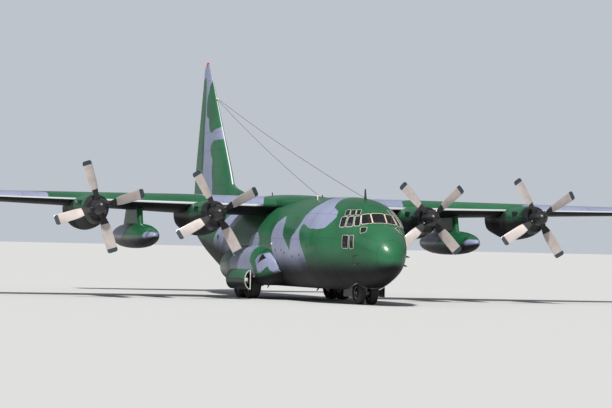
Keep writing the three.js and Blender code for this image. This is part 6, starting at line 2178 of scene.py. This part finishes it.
@dataclass
class NoseGear:
    """Nose leg, steered fork, both wheels and the doors."""

    y: float = 3.4
    radius: float = 0.495
    spacing: float = 0.56

    def leg(self) -> None:
        """Makes the leg with its brace, steering cylinders and two landing lamps."""
        y = self.y
        post = [(0.0655, 0.98), (0.1, 0.98), (0.112, 1.0), (0.112, 1.06), (0.092, 1.08), (0.092, 1.2),
                (0.105, 1.21), (0.105, 1.27), (0.09, 1.29), (0.09, 1.41), (0.0655, 1.41)]
        head = [(0.0, 1.36), (0.08, 1.36), (0.08, 1.409), (0.0, 1.409)]
        parts = [turned(post, (0, 0, 1), (0, y, 0), 32), turned(head, (0, 0, 1), (0, y, 0), 24)]
        parts.append(tube([(0, y + 0.07, 1.1), (0, 3.85, 1.21), (0, 4.22, 1.3)], 0.04, 12, 3))
        for s in (-1, 1):
            arm = [(s * 0.1, y, 1.24), (s * 0.3, y + 0.02, 1.3), (s * 0.62, y + 0.02, 1.33)]
            parts.append(tube(arm, 0.032, 10, 3))
            parts.append(tube([(s * 0.1, y + 0.1, 1.06), (s * 0.11, y - 0.14, 1.06)], 0.03, 12))
        place("nose_leg_post", combined(parts), Finish.WHITE, slot=Slot.WHITE, stands_for=["nose_leg"])
        cup = [(0.0, 0.12), (0.05, 0.11), (0.085, 0.05), (0.092, 0.0), (0.083, 0.0), (0.0, 0.02)]
        lens = [(0.0, -0.012), (0.05, -0.008), (0.082, 0.0), (0.0, 0.01)]
        for name, profile, finish, slot in (
            ("landing_lamp_cups", cup, Finish.DARK, Slot.STEEL),
            ("landing_lamps", lens, Finish.LAMP, Slot.GLASS),
        ):
            pair = [turned(profile, (0, 1, 0), (x, y - 0.16, 1.17), 24) for x in (-0.17, 0.17)]
            place(name, combined(pair), finish, slot=slot)

    def fork(self) -> None:
        """Makes the steered piston, axle and scissor links."""
        y, r = self.y, self.radius
        piston = [(0.0, r - 0.1), (0.075, r - 0.1), (0.088, r - 0.08), (0.088, r + 0.1), (0.078, r + 0.12),
                  (0.078, r + 0.24), (0.088, r + 0.25), (0.088, r + 0.3), (0.0595, r + 0.31), (0.0595, 1.16),
                  (0.0, 1.16)]
        axle = [(0.0, -0.42), (0.04, -0.42), (0.0495, -0.41), (0.0495, 0.41), (0.04, 0.42), (0.0, 0.42)]
        collar = [(0.05, -0.11), (0.072, -0.1), (0.072, 0.1), (0.05, 0.11)]
        parts = [turned(piston, (0, 0, 1), (0, y, 0), 28)]
        parts += [turned(profile, (1, 0, 0), (0, y, r), 20) for profile in (axle, collar)]
        for s in (-1, 1):
            reach = ((0.05, 0.07, 0.1), (0.03, 0.19, 0.25), (0.05, 0.07, 0.42))
            parts.append(tube([(s * a, y + b, r + c) for a, b, c in reach], 0.018, 8))
        place("nose_fork_leg", combined(parts), Finish.WHITE, "nose_steering", Slot.WHITE, ["nose_fork"])

    def doors(self) -> None:
        """Makes the two flat doors with their inner ribs."""
        outline = [(3.0, 0.33), (4.1, 0.33), (4.1, 0.615), (3.5, 0.64), (3.22, 0.7), (3.0, 0.76)]
        for side in Side:
            name = f"nose_gear_door_{side.name}"
            near, far = sorted((side.value * 0.7, side.value * 0.735))
            # Painted shade: the doors are drawn black and their ribs dark for the shade under the nose; their
            # soot mark is painted shade too.
            skin = prism(outline, near, far, 0).marked(camo=-1.0, soot=1.1)
            place_skin(name, skin, Finish.BLACK)
            near, far = sorted((side.value * 0.684, side.value * 0.704))
            ribs = [block((near, y, 0.36), (far, y + 0.03, 0.6), 0.006) for y in (3.1, 3.4, 3.7, 4.0)]
            ribs.append(block((near, 3.04, 0.46), (far, 4.06, 0.49), 0.006))
            place(f"{name}_ribs", combined(ribs), Finish.DARK, slot=Slot.WHITE)

    def build(self) -> None:
        """Makes every piece."""
        self.leg()
        self.fork()
        self.doors()
        for side in Side:
            centre = (side.value * self.spacing / 2, self.y, self.radius)
            name = f"nose_wheel_{side.name}"
            Wheel(name, "nose_wheels", name, centre, self.radius, 0.33, (-0.2, 0.0, 0.2), 8).build()


@dataclass
class Details:
    """Aerials, probes, lamps, wipers and small buttons on the skin."""

    hull: Hull

    def spot(self, y: float, degrees: float, side: Side, lift: float = 0.0) -> np.ndarray:
        """A place on the skin at an angle above the middle line."""
        a = math.radians(degrees)
        angle = a if side is Side.port else math.pi - a
        return self.hull.at(np.array([y]), np.array([angle]), -lift)[0]

    def disc(self, y: float, degrees: float, side: Side, radius: float, lift: float) -> Shape:
        """A low round button on the skin."""
        centre = self.spot(y, degrees, side)
        line = self.spot(y, degrees, side, 0.1) - centre
        button = [(0.0, -0.02), (radius, -0.02), (radius, lift * 0.6), (radius * 0.8, lift), (0.0, lift)]
        return turned(button, line, centre, 16)

    def discs(self, places: Sequence, radius: float, lift: float) -> list[Shape]:
        """Buttons of one size at (station, degrees), on both sides."""
        return [self.disc(y, degrees, side, radius, lift) for side in Side for y, degrees in places]

    def aerials(self) -> None:
        """Makes the blade aerials on the roof and under the belly: raked, tapering lens-shaped rings."""
        t = np.linspace(0, TAU, 21)[:-1]
        blades = []
        roof = ((3.62, 4.4, 4.9, 0.34), (9.2, 4.5, 4.72, 0.24), (16.45, 4.62, 4.93, 0.24))
        for y, low, high, chord in roof:
            z = np.linspace(low, high, 9)[:, None]
            taper = 1 - 0.55 * (z - low) / (high - low)
            run = y + 0.1 * (z - low) + chord / 2 * taper * np.cos(t)
            blades.append(loft(spread(0.024 * taper * np.sin(t), run, z)))
        for y, drop in ((6.4, 0.22), (9.4, 0.18), (16.6, 0.2)):
            share = np.array([0.0, 0.5, 1.0])[:, None]
            run = y + 0.3 * share + (0.13 - 0.07 * share) * np.cos(t)
            blades.append(loft(spread(0.02 * np.sin(t), run, 0.62 - drop * share)))
        place("blade_aerials", combined(blades), Finish.DARK, slot=Slot.GREY)

    def wires(self) -> None:
        """Makes the two long wire aerials, which sag as a parabola, and their insulators."""
        wires, ends = [], []
        for side, y, degrees in ((Side.starboard, 7.8, 71), (Side.port, 6.3, 62)):
            foot = self.spot(y, degrees, side)
            high = foot + (0, 0.05, 0.22)
            top = np.array((side.value * 0.02, 26.0, 9.84))
            share = np.linspace(0, 1, 25)[:, None]
            sag = 4 * share * (1 - share) * (0, 0, -0.16)
            wires.append(tube(high + (top - high) * share + sag, 0.009, 6))
            lower = [foot - (0, 0, 0.03), foot + (0, 0.02, 0.12), high + (0, 0.06, 0.01)]
            upper = [top - (0, 0.3, 0.07), top - (0, 0.12, 0.03), top + (0, 0.06, 0.0)]
            ends += [tube(lower, (0.03, 0.022, 0.012), 10, 3), tube(upper, (0.014, 0.026, 0.014), 10, 3)]
        place("wire_aerials", combined(wires), Finish.DARK, slot=Slot.STEEL)
        place("wire_insulators", combined(ends), Finish.CREAM, slot=Slot.WHITE)

    def probes(self) -> None:
        """Makes the air probes and wipers of the nose."""
        parts = []
        for side in Side:
            for degrees in (-12, -26):
                foot, out = self.spot(1.72, degrees, side), self.spot(1.72, degrees, side, 0.1)
                path = [foot, out, out - (0, 0.06, 0), out - (0, 0.2, 0)]
                parts.append(tube(path, (0.04, 0.032, 0.026, 0.014), 10, 3))
        place("air_probes", combined(parts), Finish.DARK, slot=Slot.STEEL)
        starboard = [(-0.5, 1.7, 3.44), (-0.48, 1.84, 3.6), (-0.34, 2.08, 3.805)]
        port = [(0.5, 1.7, 3.44), (0.52, 1.84, 3.6), (0.62, 2.06, 3.765)]
        arms = [tube(path, 0.011, 8, 3) for path in (starboard, port)]
        place("wipers", combined(arms), Finish.DARK, slot=Slot.BLADE)

    def buttons(self) -> None:
        """Makes the lamps, drains, belly beacon and hand grips seen to starboard, and their mirror images."""
        place("side_lamps", combined(self.discs([(9.77, 2)], 0.05, 0.03)), Finish.LAMP, slot=Slot.GLASS)
        low = [(9.27, -5), (8.42, -5), (8.04, -8), (6.98, -12), (6.0, -10), (5.08, -1), (3.78, -25)]
        high = [(7.3, 34), (11.2, 30), (16.2, 22), (20.3, 10), (22.8, 14)]
        dots = self.discs(low, 0.05, 0.012) + self.discs(high, 0.045, 0.008)
        place("drain_buttons", combined(dots), Finish.DARK, slot=Slot.GREY)
        dome = [(0.0, -0.03), (0.1, -0.03), (0.1, 0.0), (0.07, 0.02), (0.066, 0.07), (0.04, 0.1), (0.0, 0.11)]
        beacon = turned(dome, (0, 0, -1), (0, 8.2, 0.6), 24)
        place("belly_beacon", beacon, Finish.RUST, slot=Slot.GLASS)
        corners = (5.3, 0.0), (5.3, 0.06), (5.52, 0.06), (5.52, 0.0)
        grips = [tube([self.spot(y, -20, side, lift) for y, lift in corners], 0.014, 8, 4) for side in Side]
        place("hand_grips", combined(grips), Finish.DARK, slot=Slot.STEEL)

    def build(self) -> None:
        """Makes every piece."""
        self.aerials()
        self.wires()
        self.probes()
        self.buttons()


# Floor, lights and camera
@dataclass
class Studio:
    """Pale floor, soft light and the photograph's camera, in the frame's metres."""

    eye: tuple[float, float, float] = (-18.4755, -56.3, 1.214)
    yaw: float = math.radians(18.69587)
    pitch: float = math.radians(0.94828)
    roll: float = math.radians(1.23432)
    lens: float = 149.37
    seen_sky: float = 0.6
    sky: float = 0.3

    def floor(self) -> None:
        """Makes a wide flat disc of rings about the origin."""
        r = np.array([0.01, 4, 10, 25, 60, 150, 400, 1500.0])[:, None]
        t = np.linspace(0, TAU, 65)[:-1]
        points = spread(r * np.cos(t), r * np.sin(t), 0.0).reshape(-1, 3)
        mesh = bpy.data.meshes.new("floor")
        mesh.from_pydata(points.tolist(), [], grid_tris(8, 64, True)[:, ::-1].tolist())
        pale = Graph("studio_floor").finish(Base_Color=colour(0.5, 0.505, 0.51), Roughness=0.75)
        mesh.materials.append(pale)
        piece = bpy.data.objects.new("floor", mesh)
        bpy.context.scene.collection.objects.link(piece)

    def sun(self, name: str, towards: tuple, power: float, spread: float, tint: tuple) -> None:
        """Adds an even light from a direction, softened over some degrees."""
        data = bpy.data.lights.new(name, "SUN")
        data.energy, data.angle, data.color = power, math.radians(spread), tint
        lamp = bpy.data.objects.new(name, data)
        lamp.matrix_world = Vector(towards).to_track_quat("Z", "Y").to_matrix().to_4x4()
        bpy.context.scene.collection.objects.link(lamp)

    def world(self) -> None:
        """Sets a pale even sky, and lowers its light on the model without darkening the sky itself."""
        world = bpy.data.worlds.new("studio")
        world.use_nodes = True
        tree = world.node_tree
        sky = tree.nodes["Background"]
        sky.inputs["Color"].default_value = (0.86, 0.92, 1.0, 1)
        path = tree.nodes.new("ShaderNodeLightPath")
        dim = tree.nodes.new("ShaderNodeMapRange")
        dim.inputs["To Min"].default_value, dim.inputs["To Max"].default_value = self.sky, self.seen_sky
        tree.links.new(path.outputs["Is Camera Ray"], dim.inputs["Value"])
        tree.links.new(dim.outputs["Result"], sky.inputs["Strength"])
        bpy.context.scene.world = world

    def camera(self) -> None:
        """Adds the camera solved from the photograph: yaw and pitch aim it, and roll tips it."""
        data = bpy.data.cameras.new("camera")
        data.lens, data.sensor_width, data.clip_end = self.lens, 36.0, 4000.0
        data.sensor_fit = "HORIZONTAL"
        level, climb = math.cos(self.pitch), math.sin(self.pitch)
        forward = np.array([math.sin(self.yaw) * level, math.cos(self.yaw) * level, climb])
        right = np.array([math.cos(self.yaw), -math.sin(self.yaw), 0.0])
        up = np.cross(right, forward)
        c, s = math.cos(self.roll), math.sin(self.roll)
        columns = np.eye(4)
        columns[:3] = np.column_stack([c * right + s * up, c * up - s * right, -forward, self.eye])
        camera = bpy.data.objects.new("camera", data)
        camera.matrix_world = Matrix(columns.tolist())
        bpy.context.scene.collection.objects.link(camera)
        bpy.context.scene.camera = camera

    def build(self) -> None:
        """Makes the whole set."""
        self.floor()
        self.world()
        bpy.context.scene.view_settings.view_transform = "Standard"
        self.sun("key", (-0.34, -0.5, 0.79), 5.0, 5.0, (1.0, 0.97, 0.92))
        self.sun("fill", (-0.9, 0.2, 0.5), 0.3, 40.0, (0.9, 0.95, 1.0))
        self.camera()


def dress(nodes: dict[str, Finish]) -> None:
    """Gives frame nodes that stay their finishes."""
    for name, finish in nodes.items():
        piece = frame["nodes"][name]
        piece.data.materials.clear()
        piece.data.materials.append(finish.material())
        log.info("%s: finish %s", name, finish.value.name)


def main() -> None:
    """Builds the aeroplane and its set."""
    logging.basicConfig(level=logging.INFO, format="%(name)s %(message)s")
    hull = Hull()
    Studio().build()
    Cockpit(hull).build()
    Hold(hull).build()
    dress({"cargo_floor": Finish.FLOOR, "nose_wheel_well": Finish.PRIMER})
    Wing().build()
    Tail().build()
    for engine in ENGINES:
        engine.build()
    for side in Side:
        Tank(side).build()
        MainGear(side).build()
    NoseGear().build()
    Details(hull).build()


if __name__ == "__main__":
    main()
